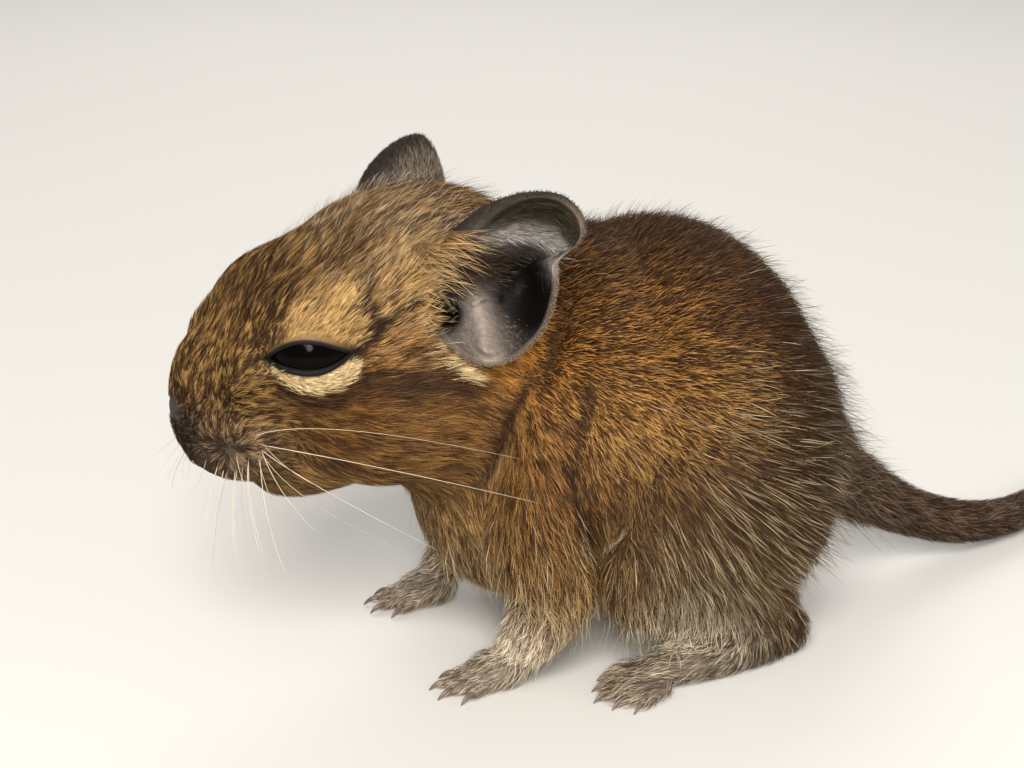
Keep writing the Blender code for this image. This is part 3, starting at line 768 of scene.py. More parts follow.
# frame, place (y outwards), reach, ground colour, tip colour, share of dark hairs
MARKS = (
    # head, in its own frame
    ("h", (8.8, 1.0, -1.2), 1.8, BISTRE, TAN, 0.45),  # top of the nose
    ("h", (9.8, 1.4, -4.4), 2.0, SOOT, MAUVE * 0.8, 0.9),  # front of the muzzle
    ("h", (8.2, 3.2, -4.6), 1.3, SOOT, TAUPE, 0.55),
    ("h", (6.8, 4.9, -5.0), 1.7, MAUVE, DUN, 0.42),  # whisker pad
    ("h", (5.4, 4.6, -2.0), 1.8, BISTRE, GOLD, 0.35),  # side of the snout
    ("h", (5.0, 2.0, 1.8), 2.5, BISTRE, GOLD, 0.42),  # bridge
    ("h", (0.0, 2.4, 3.8), 2.8, BISTRE, GOLD * 0.78, 0.62),  # forehead
    ("h", (-4.6, 3.4, 4.5), 1.8, BISTRE, GOLD * 0.95, 0.58),  # dusky band over the brow
    ("h", (-9.0, 2.5, 4.9), 3.4, OCHRE * 0.9, DUN, 0.38),  # crown
    ("h", (-12.0, 4.6, 3.6), 2.3, TAUPE, BEIGE * 1.12, 0.08),  # pale patch before the ear's top
    ("h", (-15.0, 2.0, 2.8), 3.0, UMBER, TAN, 0.55),  # back of the head
    ("h", (-7.8, 7.2, 2.0), 1.7, OCHRE, FAWN * 0.88, 0.24),  # temple before the ear
    ("h", (-9.2, 8.0, 1.5), 1.2, OCHRE, FAWN, 0.08),
    ("h", (-6.2, 8.8, -2.0), 1.3, CHESTNUT, TAN * 1.15, 0.26),  # fan between eye and ear
    ("h", (1.8, 7.0, -5.2), 1.7, CHESTNUT, OCHRE * 0.92, 0.36),  # cheek under the eye
    ("h", (-2.5, 9.1, -7.4), 2.2, CHESTNUT * 0.9, RUSSET * 0.74, 0.38),  # cheek
    ("h", (-5.5, 9.2, -9.8), 2.4, CHESTNUT * 0.92, TAN * 0.68, 0.33),  # jowl
    # painted shade: the chin's fur is darkened under the head
    ("h", (3.5, 3.5, -9.6), 2.2, BISTRE, TAN * 0.68, 0.32),  # chin
    ("h", (-1.5, 2.5, -13.0), 3.2, BISTRE, TAN, 0.22),  # under the jaw
    ("h", (-8.0, 5.0, -15.0), 3.0, BISTRE, TAN, 0.34),  # throat
    # body, in the model's frame
    ("b", (-3.0, 3.0, 33.0), 3.5, UMBER, RUSSET, 0.60),  # nape
    # the orange band behind the ear: its own colour, brightened as painted light against the ear's shadow
    ("b", (-0.9, 9.4, 26.2), 1.8, RUSSET * 0.9, ORANGE * 1.5, 0.08),  # band behind the ear
    ("b", (-2.6, 9.6, 24.0), 1.6, RUSSET * 0.8, ORANGE * 1.3, 0.12),
    ("b", (0.6, 8.0, 28.8), 1.5, RUSSET * 0.9, ORANGE * 1.5, 0.08),
    ("b", (-6.2, 9.0, 20.8), 2.0, CHESTNUT, RUSSET, 0.26),
    ("b", (4.0, 9.4, 26.2), 1.9, UMBER, RUSSET, 0.62),  # dusky patch behind the band
    ("b", (-7.6, 6.5, 16.0), 3.0, BISTRE, RUSSET, 0.34),  # ruff
    ("b", (-5.0, 5.0, 9.0), 3.2, BISTRE, ASH * 0.85, 0.42),  # chest
    # top of the back: its own dusky fur, darkened further as painted shade where less light falls
    ("b", (8.0, 0.0, 33.0), 6.0, UMBER * 0.5, CHESTNUT * 0.34, 0.76),  # top of the back
    ("b", (8.0, 8.0, 28.5), 3.8, BISTRE, RUSSET * 1.22, 0.35),  # side of the back
    ("b", (7.0, 11.8, 23.0), 3.4, CHESTNUT, RUSSET * 1.1, 0.33),  # flank
    ("b", (12.0, 12.5, 20.5), 3.2, CHESTNUT, GOLD, 0.34),
    ("b", (5.0, 12.3, 19.0), 2.6, CHESTNUT, GOLD, 0.26),
    ("b", (-2.0, 11.8, 16.5), 2.4, BISTRE, RUSSET * 1.2, 0.30),  # shoulder
    ("b", (-2.0, 11.0, 9.5), 3.0, BISTRE, OCHRE, 0.42),  # elbow
    ("b", (5.0, 12.5, 13.0), 3.0, BISTRE * 0.8, OCHRE * 0.62, 0.52),  # low flank
    ("b", (9.0, 14.0, 8.5), 3.4, BISTRE * 0.75, ASH * 0.42, 0.48),  # thigh
    # painted shade: the haunch is darkened on the side turned from the light
    ("b", (15.0, 13.0, 14.5), 3.4, UMBER * 0.6, OCHRE * 0.26, 0.68),  # haunch
    ("b", (17.0, 6.0, 27.0), 5.0, UMBER * 0.7, CHESTNUT * 0.6, 0.68),  # croup
    # painted shade: the side of the rump and the rump are darkened where they turn from the light
    ("b", (19.5, 10.0, 20.0), 3.8, UMBER * 0.65, OCHRE * 0.24, 0.66),  # side of the rump
    ("b", (23.5, 6.5, 15.0), 4.0, UMBER * 0.65, OCHRE * 0.24, 0.66),  # rump
    ("b", (24.5, 3.0, 11.0), 4.0, UMBER, TAUPE * 0.7, 0.6),  # round the tail's root
    # painted shade: darkened behind the shank
    ("b", (16.0, 10.0, 5.0), 4.0, BISTRE * 0.75, ASH * 0.45, 0.5),  # behind the shank
    ("b", (4.0, 3.0, 4.0), 3.8, OCHRE, BEIGE, 0.14),  # belly
    ("b", (-4.0, 7.5, 1.5), 2.4, TAUPE, SILVER, 0.12),  # forefeet
    ("b", (9.0, 11.5, 0.6), 3.0, TAUPE, SILVER, 0.12),  # hind feet
    ("b", (34.0, 1.0, 5.0), 6.0, UMBER, TAUPE, 0.48),  # tail
    ("b", (50.0, 4.0, 2.0), 6.0, UMBER, TAUPE, 0.52),
    ("b", (58.5, 9.8, 2.0), 3.0, SOOT, UMBER, 0.85),  # tail tip
)


def fold_sides(points):
    p = points.copy()
    p[:, 1] = np.abs(p[:, 1])
    return p


# Lines on the coat and folds in the skin (y outwards), in the head's frame and then in the model's
BROW_CREASE = np.array(((-5.4, 6.4, 2.6), (-4.9, 7.1, 1.6), (-4.6, 7.7, 0.7), (-4.6, 8.1, -0.5)))
TEMPLE_CREASE = np.array(((-4.4, 8.2, -0.9), (-5.4, 8.3, -0.4), (-7.2, 8.4, 0.0), (-8.6, 8.5, 0.3)))
# Lines in the eye's plane, towards the inner corner and up, with half-widths
EYE_BAND = (  # dusky band from under the cream patch to the base of the ear, widening
    ((1.9, -1.9), 0.25), ((0.9, -3.0), 0.45), ((-1.4, -3.5), 0.70), ((-3.8, -2.75), 0.85),
    ((-6.1, -2.5), 1.0), ((-8.4, -2.9), 1.1), ((-10.4, -3.8), 1.0),
)
EAR_STREAK = (
    ((-7.5, 1.95), 0.08), ((-8.0, 1.0), 0.12), ((-8.45, 0.05), 0.16), ((-8.95, -1.0), 0.26),
    ((-9.5, -1.8), 0.42), ((-10.1, -2.35), 0.48), ((-10.8, -3.0), 0.34),
)
# painted shade: dark lines along the brow and temple creases
BROW_CREASE_SHADE = (
    ((-4.55, 4.7), 0.20), ((-4.25, 3.9), 0.30), ((-4.3, 2.9), 0.32), ((-4.45, 2.0), 0.32), ((-4.7, 1.2), 0.38),
)
TEMPLE_CREASE_SHADE = (
    ((-4.45, 0.6), 0.24), ((-4.7, 1.2), 0.34), ((-5.4, 1.75), 0.24), ((-6.25, 2.4), 0.20), ((-7.0, 2.7), 0.18),
    ((-7.75, 3.0), 0.12),
)
CORNER_LINE = (((-2.7, -0.05), 0.10), ((-3.5, 0.07), 0.09), ((-4.1, 0.42), 0.12))
# Folds down the side of the body, back and up, with half-widths; each is pressed into the skin and also painted dark
# as painted shade
NECK_FOLD = (
    ((4.0, 30.8), 0.30), ((2.3, 28.6), 0.40), ((1.2, 26.5), 0.50), ((0.3, 25.0), 0.55), ((-0.4, 23.2), 0.50),
    ((-0.8, 21.8), 0.20),
)
CHEST_FOLD = (
    ((-1.9, 23.0), 0.40), ((-3.0, 20.9), 0.75), ((-3.6, 19.2), 0.80), ((-4.1, 17.6), 0.85), ((-4.6, 16.0), 0.90),
    ((-5.2, 13.0), 0.90),
)
ARM_FOLD = (
    ((2.2, 22.3), 0.25), ((1.9, 20.9), 0.45), ((1.3, 19.2), 0.55), ((0.6, 17.6), 0.60), ((0.2, 15.6), 0.65),
    ((0.6, 13.4), 0.65), ((1.7, 10.8), 0.50),
)
FOLDS = ((NECK_FOLD, 0.8, 0.95), (CHEST_FOLD, 1.0, 1.2), (ARM_FOLD, 1.0, 1.2))
# Outlines of two patches in the eye's plane: towards the inner corner, and up
CREAM_PATCH = (
    (3.0, -0.45), (2.3, -1.0), (1.5, -1.75), (0.7, -2.25), (-0.6, -2.5), (-1.8, -2.45), (-2.7, -2.1),
    (-3.3, -1.5), (-3.5, -0.95), (-3.2, -0.7), (-2.75, -0.2), (-2.0, -0.4), (-1.0, -0.75),
    (0.0, -0.85), (1.0, -0.7), (2.0, -0.3), (2.75, -0.15),
)
GOLD_PATCH = (
    (1.5, 1.1), (1.25, 2.2), (0.7, 3.2), (-0.1, 3.8), (-1.35, 4.15), (-2.65, 4.35), (-3.5, 4.4), (-3.85, 3.7),
    (-3.9, 2.75), (-3.95, 1.85), (-4.05, 0.95), (-3.3, 0.45), (-2.0, 0.7), (-1.0, 0.95), (0.0, 1.05), (0.9, 1.0),
)


def band_points(band):
    return np.array([p for p, _ in band])


def inside_band(points, band, soft):
    """1 within a line whose half-width is given at each of its points."""
    line = band_points(band)
    half = np.array([w for _, w in band])
    d, where = polyline_distance(points, line)
    width = np.interp(where * (len(line) - 1), np.arange(len(line)), half)
    return 1 - smoothstep(d - width, -soft, soft)


def inside_outline(flat, outline, soft):
    """1 within a closed outline in a plane, easing off across its edge."""
    line = np.array(outline + outline[:1])
    inside = np.zeros(len(flat), bool)
    distance = np.full(len(flat), 1e9)
    for a, b in zip(line, line[1:]):
        ab = b - a
        t = np.clip(((flat - a) @ ab) / (ab @ ab), 0, 1)
        distance = np.minimum(distance, np.linalg.norm(flat - a - t[:, None] * ab, axis=1))
        rise = ab[1] if abs(ab[1]) > 1e-9 else 1e-9
        at = a[0] + (flat[:, 1] - a[1]) * ab[0] / rise
        inside ^= ((a[1] > flat[:, 1]) != (b[1] > flat[:, 1])) & (flat[:, 0] < at)
    return smoothstep(np.where(inside, distance, -distance), -soft, soft)


def on_eye_plane(eye):
    return (eye[:, 2] > -2.5) * (eye[:, 2] < 4.5)


def eye_patch(eye, outline, soft):
    return inside_outline(eye[:, :2], outline, soft) * on_eye_plane(eye)


def side_share(body):
    """1 on the sides of the body, easing off towards its middle."""
    return smoothstep(body[:, 1], 4.5, 7.0)


def coat_colours(points, edge_noise=0.0):
    """Ground colour, tip colour and share of dark hairs at points on the body, with painted shade along folds and
    creases.
    """
    if edge_noise:
        points = points + rng.normal(0, edge_noise, points.shape)
    body = fold_sides(points)
    head = fold_sides(through(HEAD_INV, points))
    total = np.full(len(points), 1e-9)
    ground, tip = np.zeros((len(points), 3)), np.zeros((len(points), 3))
    dark = np.zeros(len(points))
    for where, place, reach, low, high, share in MARKS:
        p = head if where == "h" else body
        w = np.exp(-(((p - np.array(place)) ** 2).sum(1) / (2 * reach * reach))) + 1e-12
        total += w
        ground += w[:, None] * low
        tip += w[:, None] * high
        dark += w * share
    ground, tip, dark = ground / total[:, None], tip / total[:, None], dark / total

    def paint(mask, low, high, share):
        nonlocal ground, tip, dark
        m = mask[:, None]
        ground = ground * (1 - m) + low * m
        tip = tip * (1 - m) + high * m
        dark = dark * (1 - mask) + share * mask

    eye = to_eye(head, -1)
    flat, near = eye[:, :2], on_eye_plane(eye)
    paint(inside_band(flat, EYE_BAND, 0.55) * near * 0.85, UMBER, BISTRE * 1.2, 0.50)
    paint(eye_patch(eye, GOLD_PATCH, 0.45), TAN * 0.86, FAWN * 0.82, 0.15)
    paint(eye_patch(eye, CREAM_PATCH, 0.22), BEIGE * 0.92, CREAM * 0.91, 0.0)
    paint(inside_band(flat, EAR_STREAK, 0.16) * near, BEIGE * 0.84, CREAM * 0.82, 0.04)
    # painted shade along the brow and temple creases
    paint(inside_band(flat, BROW_CREASE_SHADE, 0.24) * near * 0.95, UMBER, UMBER * 1.4, 0.8)
    paint(inside_band(flat, TEMPLE_CREASE_SHADE, 0.16) * near, SOOT, UMBER, 0.95)
    paint(inside_band(flat, CORNER_LINE, 0.16) * near * 0.85, SOOT, UMBER, 0.9)
    distance, inside = near_lids(eye)
    by_eye = np.abs(eye[:, 2]) < 4.5
    # bare dark skin round the lids, drawn out a little at both corners
    close = 1 - smoothstep(distance, 0.10, 0.26)
    for corner in (-1, 1):
        tail = np.hypot((eye[:, 0] - corner * (LID_HALF + 0.35)) / 0.7, (eye[:, 1] + 0.16) / 0.17)
        close = np.maximum(close, np.exp(-(tail**2)))
    paint(np.where(inside, 1.0, close) * by_eye, SOOT, SOOT, 1.0)
    # painted shade: the coat along each fold of the body is painted dark
    for fold, _, _ in FOLDS:
        shade = inside_band(body[:, ::2], fold, 0.75) * side_share(body)
        paint(shade * 0.96, UMBER * 0.7, BISTRE * 0.6, 0.78)
    return ground, tip, dark


def crease_moves(points):
    """Depth of the folds in the skin."""
    body = fold_sides(points)
    head = fold_sides(through(HEAD_INV, points))
    move = 0.0
    for path, depth, half in ((BROW_CREASE, 0.42, 0.55), (TEMPLE_CREASE, 0.42, 0.42)):
        d, where = polyline_distance(head, path)
        ends = np.sin(np.pi * np.clip(where, 0.02, 0.98)) ** 0.5
        move = move - depth * ends * np.exp(-((d / half) ** 2))
    for fold, depth, half in FOLDS:
        d, where = polyline_distance(body[:, ::2], band_points(fold))
        ends = np.sin(np.pi * np.clip(where, 0.02, 0.98)) ** 0.5 * side_share(body)
        move = move - depth * ends * np.exp(-((d / half) ** 2))
    return move


# ================================================================ lie of the coat
# frame, place (y outwards), direction of the hair (y outwards)
LIE = (
    ("h", (9.6, 0.6, -2.0), (-0.3, 0.2, 1.0)),
    ("h", (9.6, 1.2, -5.5), (0.0, 0.4, -1.0)),
    ("h", (7.5, 1.5, 0.8), (-0.8, -0.05, 0.6)),
    ("h", (5.5, 4.0, -0.6), (-0.85, 0.0, 0.65)),
    ("h", (3.4, 2.2, 2.6), (-0.9, -0.12, 0.45)),
    ("h", (0.0, 2.4, 4.2), (-1.0, -0.13, 0.1)),
    ("h", (-7.0, 2.2, 5.2), (-1.0, 0.0, 0.0)),
    ("h", (-13.0, 2.0, 3.5), (-1.0, 0.0, -0.35)),
    ("h", (2.6, 5.6, 1.6), (-0.8, 0.0, 0.9)),
    ("h", (-0.4, 6.4, 2.4), (-0.7, -0.1, 0.9)),
    ("h", (-2.8, 6.8, 1.9), (-0.9, 0.0, 0.62)),
    ("h", (-3.8, 7.9, 0.2), (-1.0, 0.0, 0.25)),
    ("h", (-6.0, 7.6, 1.6), (-0.75, -0.1, 0.85)),
    ("h", (-8.3, 7.3, 2.3), (-0.95, 0.0, 0.45)),
    ("h", (-8.6, 8.4, 0.6), (-1.0, 0.3, 0.12)),
    ("h", (-6.0, 8.6, -1.4), (-1.0, 0.2, 0.12)),
    ("h", (-7.2, 8.9, -2.8), (-1.0, 0.25, -0.45)),
    ("h", (-7.9, 9.1, -4.2), (-0.7, 0.1, -0.9)),
    ("h", (3.4, 6.3, -2.0), (-0.9, 0.3, -0.55)),
    ("h", (1.6, 7.0, -2.8), (-0.8, 0.2, -0.75)),
    ("h", (-1.0, 8.1, -3.2), (-0.95, 0.1, -0.35)),
    ("h", (-2.8, 8.4, -2.4), (-1.0, 0.1, 0.1)),
    ("h", (-4.5, 8.9, -4.4), (-1.0, 0.1, -0.2)),
    ("h", (1.4, 7.0, -6.5), (-1.0, 0.2, -0.36)),
    ("h", (-3.5, 9.2, -7.5), (-1.0, 0.1, -0.40)),
    ("h", (-7.0, 9.0, -9.5), (-1.0, 0.1, -0.75)),
    ("h", (4.0, 3.5, -9.8), (-1.0, 0.3, -0.5)),
    ("h", (6.5, 1.0, -9.0), (-0.8, 0.2, -0.7)),
    ("h", (-1.5, 2.0, -13.0), (-1.0, 0.15, -0.5)),
    ("h", (-4.0, 6.0, -13.5), (-0.8, 0.2, -0.9)),
    ("b", (-4.0, 2.0, 33.5), (1.0, 0.0, 0.0)),
    ("b", (-4.0, 7.5, 30.5), (1.0, 0.1, -0.1)),
    ("b", (0.5, 9.0, 27.0), (1.0, 0.0, -0.15)),
    ("b", (-1.0, 9.8, 23.6), (0.75, 0.0, -0.65)),
    ("b", (-6.0, 9.0, 20.4), (0.6, 0.1, -0.8)),
    ("b", (-7.5, 5.5, 15.0), (0.35, 0.05, -1.0)),
    ("b", (-5.0, 5.0, 9.0), (0.25, 0.1, -1.0)),
    ("b", (8.0, 1.0, 32.5), (1.0, 0.0, 0.0)),
    ("b", (6.0, 8.5, 28.5), (1.0, 0.0, 0.05)),
    ("b", (14.0, 7.5, 28.0), (1.0, 0.0, 0.0)),
    ("b", (6.0, 11.5, 24.0), (1.0, 0.0, -0.08)),
    ("b", (12.0, 12.5, 21.5), (1.0, 0.0, -0.22)),
    ("b", (4.6, 12.2, 20.6), (0.75, 0.0, -0.55)),
    ("b", (9.0, 12.9, 18.0), (0.75, 0.0, -0.60)),
    ("b", (4.2, 12.3, 18.0), (0.35, 0.0, -0.85)),
    ("b", (-1.5, 11.5, 17.0), (0.25, 0.05, -1.0)),
    ("b", (-2.2, 10.8, 9.0), (0.12, 0.05, -1.0)),
    ("b", (4.0, 12.5, 14.0), (0.24, 0.05, -1.0)),
    ("b", (6.0, 13.5, 8.0), (0.15, 0.05, -1.0)),
    ("b", (10.5, 14.0, 11.5), (0.5, 0.05, -0.85)),
    ("b", (15.0, 13.0, 16.0), (0.9, 0.0, -0.45)),
    ("b", (16.0, 12.0, 8.0), (0.8, 0.0, -0.65)),
    ("b", (20.0, 9.0, 20.0), (1.0, 0.0, -0.25)),
    ("b", (24.0, 5.0, 16.0), (0.9, 0.0, -0.5)),
    ("b", (23.0, 8.0, 10.0), (0.9, 0.0, -0.5)),
    ("b", (5.0, 2.0, 3.5), (1.0, 0.1, 0.0)),
    ("b", (14.0, 3.0, 4.0), (1.0, 0.1, 0.1)),
    ("b", (-2.5, 7.8, 4.5), (-0.55, 0.0, -1.0)),
    ("b", (-5.5, 7.4, 1.6), (-1.0, 0.0, -0.15)),
    ("b", (9.0, 11.5, 2.0), (-1.0, 0.05, -0.1)),
    ("b", (3.5, 12.2, 1.2), (-1.0, 0.05, -0.2)),
    ("b", (17.0, 10.5, 3.0), (-0.2, 0.0, -1.0)),
)
PAD_CENTRE = np.array((6.9, 5.0, -5.6))  # the whisker pad's hairs spread from here
LIE_REACH = 2.6


def coat_lie(points, normals):
    """Unit direction of the hair along the skin."""
    body = fold_sides(points)
    head = fold_sides(through(HEAD_INV, points))
    flip = np.where(points[:, 1:2] > 0, 1.0, -1.0)
    total = np.zeros((len(points), 3))
    for where, place, way in LIE:
        p = head if where == "h" else body
        way = unit(np.array(way, float))
        if where == "h":  # the head's y runs to the left, the model's to the right
            world = turn_by(HEAD, way[None])[0]
            way = np.array((world[0], -world[1], world[2]))
        d2 = ((p - np.array(place)) ** 2).sum(1)
        w = np.exp(-d2 / (2 * LIE_REACH**2)) + 1e-4 / (1 + d2)
        total += w[:, None] * way
    # rosette of the whisker pad
    away = head - PAD_CENTRE
    away[:, 0] *= 0.9
    w = 2.4 * np.exp(-(np.linalg.norm(head - PAD_CENTRE, axis=1) / 2.3) ** 2)
    world = turn_by(HEAD, unit(away + np.array((-0.5, 0.0, -0.1))))
    world[:, 1] *= -1
    total += w[:, None] * world
    # along the tail
    path, _ = smooth_path(TAIL_PATH, TAIL_RADIUS, 6)
    tangent = unit(np.gradient(path, axis=0))
    on_tail = points[:, 0] > 23.0
    if on_tail.any():
        part = points[on_tail]
        nearest = np.argmin(((part[:, None] - path[None]) ** 2).sum(2), axis=1)
        share = smoothstep(part[:, 0], 24.0, 29.0)[:, None]
        local = total[on_tail] * np.concatenate(
            (np.ones((len(part), 1)), flip[on_tail], np.ones((len(part), 1))), 1
        )
        total[on_tail] = unit(local) * (1 - share) + tangent[nearest] * share
        flip[on_tail] = 1.0
    total[:, 1:2] *= flip
    total -= normals * (total * normals).sum(1, keepdims=True)
    return unit(total)


# length and height of the coat by place: frame, place (y outwards), reach, length, height
COAT = (
    ("h", (9.5, 1.0, -3.5), 1.6, 0.60, 0.20),
    ("h", (6.9, 4.9, -5.2), 1.8, 0.85, 0.48),
    ("h", (5.0, 3.5, 0.0), 2.5, 1.20, 0.45),
    ("h", (0.5, 2.5, 3.5), 3.0, 1.45, 0.68),
    ("h", (-8.0, 3.0, 4.8), 4.0, 1.95, 0.95),
    ("h", (-2.2, 6.6, 2.2), 2.0, 1.7, 0.50),
    ("h", (-7.6, 7.6, 1.6), 2.0, 2.1, 0.75),
    ("h", (-6.5, 8.8, -2.0), 1.6, 1.6, 0.50),
    ("h", (1.0, 7.2, -4.8), 2.2, 1.7, 0.50),
    ("h", (-4.0, 9.2, -7.0), 3.0, 2.5, 0.80),
    ("h", (3.5, 3.5, -9.5), 2.4, 1.6, 0.65),
    ("h", (-3.0, 3.0, -13.5), 3.5, 3.2, 1.4),
    ("b", (-7.0, 7.0, 17.0), 3.0, 3.3, 1.5),
    ("b", (-6.0, 6.0, 12.0), 3.5, 4.2, 1.7),
    ("b", (-3.0, 3.0, 33.0), 4.0, 2.5, 1.45),
    ("b", (0.0, 10.0, 24.5), 3.0, 1.5, 1.0),
    ("b", (8.0, 4.0, 31.0), 6.0, 1.9, 1.35),
    ("b", (8.0, 12.0, 22.0), 5.0, 1.65, 1.15),
    ("b", (0.0, 11.5, 17.0), 3.0, 2.5, 1.35),
    ("b", (0.0, 11.5, 9.0), 4.0, 3.8, 1.4),
    ("b", (8.0, 13.0, 9.0), 4.0, 4.2, 1.5),
    ("b", (20.0, 8.0, 18.0), 5.0, 3.6, 2.0),
    ("b", (24.0, 3.0, 11.0), 4.0, 3.6, 1.6),
    ("b", (4.0, 4.0, 4.5), 5.0, 3.0, 1.3),
    ("b", (-2.0, 7.6, 4.5), 2.0, 1.1, 0.32),
    ("b", (-5.0, 7.4, 1.2), 2.2, 0.48, 0.12),
    ("b", (8.0, 11.6, 1.5), 4.5, 0.62, 0.16),
    ("b", (17.0, 10.0, 3.0), 2.5, 1.8, 0.6),
    ("b", (34.0, 0.0, 4.7), 5.0, 1.8, 0.65),
    ("b", (48.0, 3.0, 1.8), 7.0, 1.3, 0.50),
    ("b", (57.0, 8.5, 1.8), 3.5, 2.2, 0.8),
)


def coat_lengths(points):
    body = fold_sides(points)
    head = fold_sides(through(HEAD_INV, points))
    total, length, height = np.full(len(points), 1e-9), 0.0, 0.0
    for where, place, reach, long, high in COAT:
        p = head if where == "h" else body
        w = np.exp(-(((p - np.array(place)) ** 2).sum(1) / (2 * reach * reach))) + 1e-12
        total += w
        length = length + w * long
        height = height + w * high
    length, height = length / total, height / total
    # short and flat round the lids and along the pale crescent
    distance = near_lids(to_eye(head, -1))[0] + 3 * np.maximum(np.abs(to_eye(head, -1)[:, 2]) - 4.5, 0)
    by_eye = 1 - smoothstep(distance, 0.2, 3.0)
    length = length * (1 - by_eye) + np.minimum(length, 0.62) * by_eye
    height = height * (1 - by_eye) + 0.13 * by_eye
    crescent = eye_patch(to_eye(head, -1), CREAM_PATCH, 0.4)
    length = length * (1 - crescent) + 0.60 * crescent
    height = height * (1 - crescent) + 0.20 * crescent
    # and low along the folds of the head
    fold = np.minimum(polyline_distance(head, BROW_CREASE)[0], polyline_distance(head, TEMPLE_CREASE)[0])
    fold = np.exp(-((fold / 0.6) ** 2))
    length, height = length * (1 - 0.45 * fold), height * (1 - 0.6 * fold)
    fold = np.min([polyline_distance(body[:, ::2], band_points(f))[0] for f, _, _ in FOLDS], axis=0)
    fold = np.exp(-((fold / 1.1) ** 2)) * side_share(body)
    length, height = length * (1 - 0.30 * fold), height * (1 - 0.60 * fold)
    return length, height


# ================================================================ materials
def new_material(name):
    mat = bpy.data.materials.new(name)
    mat.use_nodes = True
    tree = mat.node_tree
    return mat, tree, tree.nodes["Principled BSDF"]


def node(tree, kind, **inputs):
    made = tree.nodes.new(kind)
    for key, value in inputs.items():
        if key in made.inputs:
            made.inputs[key].default_value = value
        else:
            setattr(made, key, value)
    return made


def coat_material():
    mat, tree, shader = new_material("coat")
    tint = node(tree, "ShaderNodeVertexColor", layer_name="tint")
    where = node(tree, "ShaderNodeTexCoord")
    noise = node(tree, "ShaderNodeTexNoise")
    noise.inputs["Scale"].default_value = 900.0
    noise.inputs["Detail"].default_value = 3.0
    ramp = node(tree, "ShaderNodeMapRange")
    ramp.inputs["From Min"].default_value = 0.25
    ramp.inputs["From Max"].default_value = 0.75
    ramp.inputs["To Min"].default_value = 0.82
    ramp.inputs["To Max"].default_value = 1.16
    mix = node(tree, "ShaderNodeMix", data_type="RGBA", blend_type="MULTIPLY")
    mix.inputs["Factor"].default_value = 1.0
    tree.links.new(where.outputs["Object"], noise.inputs["Vector"])
    tree.links.new(noise.outputs["Fac"], ramp.inputs["Value"])
    tree.links.new(tint.outputs["Color"], mix.inputs["A"])
    tree.links.new(ramp.outputs["Result"], mix.inputs["B"])
    tree.links.new(mix.outputs["Result"], shader.inputs["Base Color"])
    shader.inputs["Roughness"].default_value = 0.6
    shader.inputs["Specular IOR Level"].default_value = 0.12
    return mat


def skin_material(name, roughness, bump_scale, strength, spots=0.15, specular=0.3):
    mat, tree, shader = new_material(name)
    tint = node(tree, "ShaderNodeVertexColor", layer_name="tint")
    where = node(tree, "ShaderNodeTexCoord")
    fine = node(tree, "ShaderNodeTexNoise")
    fine.inputs["Scale"].default_value = bump_scale
    fine.inputs["Detail"].default_value = 5.0
    grain = node(tree, "ShaderNodeTexVoronoi")
    grain.inputs["Scale"].default_value = bump_scale * 1.7
    ramp = node(tree, "ShaderNodeMapRange")
    ramp.inputs["From Min"].default_value = 0.3
    ramp.inputs["From Max"].default_value = 0.7
    ramp.inputs["To Min"].default_value = 1 - spots
    ramp.inputs["To Max"].default_value = 1 + spots
    mix = node(tree, "ShaderNodeMix", data_type="RGBA", blend_type="MULTIPLY")
    mix.inputs["Factor"].default_value = 1.0
    both = node(tree, "ShaderNodeMath", operation="ADD")
    bump = node(tree, "ShaderNodeBump")
    bump.inputs["Strength"].default_value = strength
    bump.inputs["Distance"].default_value = 0.00008
    for a, b in (
        (where.outputs["Object"], fine.inputs["Vector"]),
        (where.outputs["Object"], grain.inputs["Vector"]),
        (fine.outputs["Fac"], ramp.inputs["Value"]),
        (tint.outputs["Color"], mix.inputs["A"]),
        (ramp.outputs["Result"], mix.inputs["B"]),
        (mix.outputs["Result"], shader.inputs["Base Color"]),
        (fine.outputs["Fac"], both.inputs[0]),
        (grain.outputs["Distance"], both.inputs[1]),
        (both.outputs["Value"], bump.inputs["Height"]),
        (bump.outputs["Normal"], shader.inputs["Normal"]),
    ):
        tree.links.new(a, b)
    shader.inputs["Roughness"].default_value = roughness
    shader.inputs["Specular IOR Level"].default_value = specular
    return mat


def eye_material():
    mat, tree, shader = new_material("eye")
    where = node(tree, "ShaderNodeTexCoord")
    noise = node(tree, "ShaderNodeTexNoise")
    noise.inputs["Scale"].default_value = 700.0
    ramp = node(tree, "ShaderNodeValToRGB")
    ramp.color_ramp.elements[0].color = (0.0006, 0.0005, 0.0005, 1)
    ramp.color_ramp.elements[1].color = (0.002, 0.0012, 0.001, 1)
    tree.links.new(where.outputs["Object"], noise.inputs["Vector"])
    tree.links.new(noise.outputs["Fac"], ramp.inputs["Fac"])
    tree.links.new(ramp.outputs["Color"], shader.inputs["Base Color"])
    shader.inputs["Roughness"].default_value = 0.12
    shader.inputs["Specular IOR Level"].default_value = 0.05
    return mat


# ================================================================ pieces: skin
skin_mesh, claw_list = build_skin()


def near_eyes(reach):
    def test(middles):
        h = fold_sides(through(HEAD_INV, middles))
        return (np.linalg.norm(h - EYE_CENTRE, axis=1) < reach) & (h[:, 1] > 4.6)

    return test


def near_muzzle(middles):
    h = through(HEAD_INV, middles)
    return (h[:, 0] > 3.2) & (h[:, 2] > -11)


refine(skin_mesh, near_muzzle)
refine(skin_mesh, near_eyes(5.3))
refine(skin_mesh, near_eyes(4.5))
chosen = near_eyes(5.6)(points_of(skin_mesh)) | near_muzzle(points_of(skin_mesh))
relax(skin_mesh, chosen, 6)
note(f"refined to {len(skin_mesh.polygons)} faces")

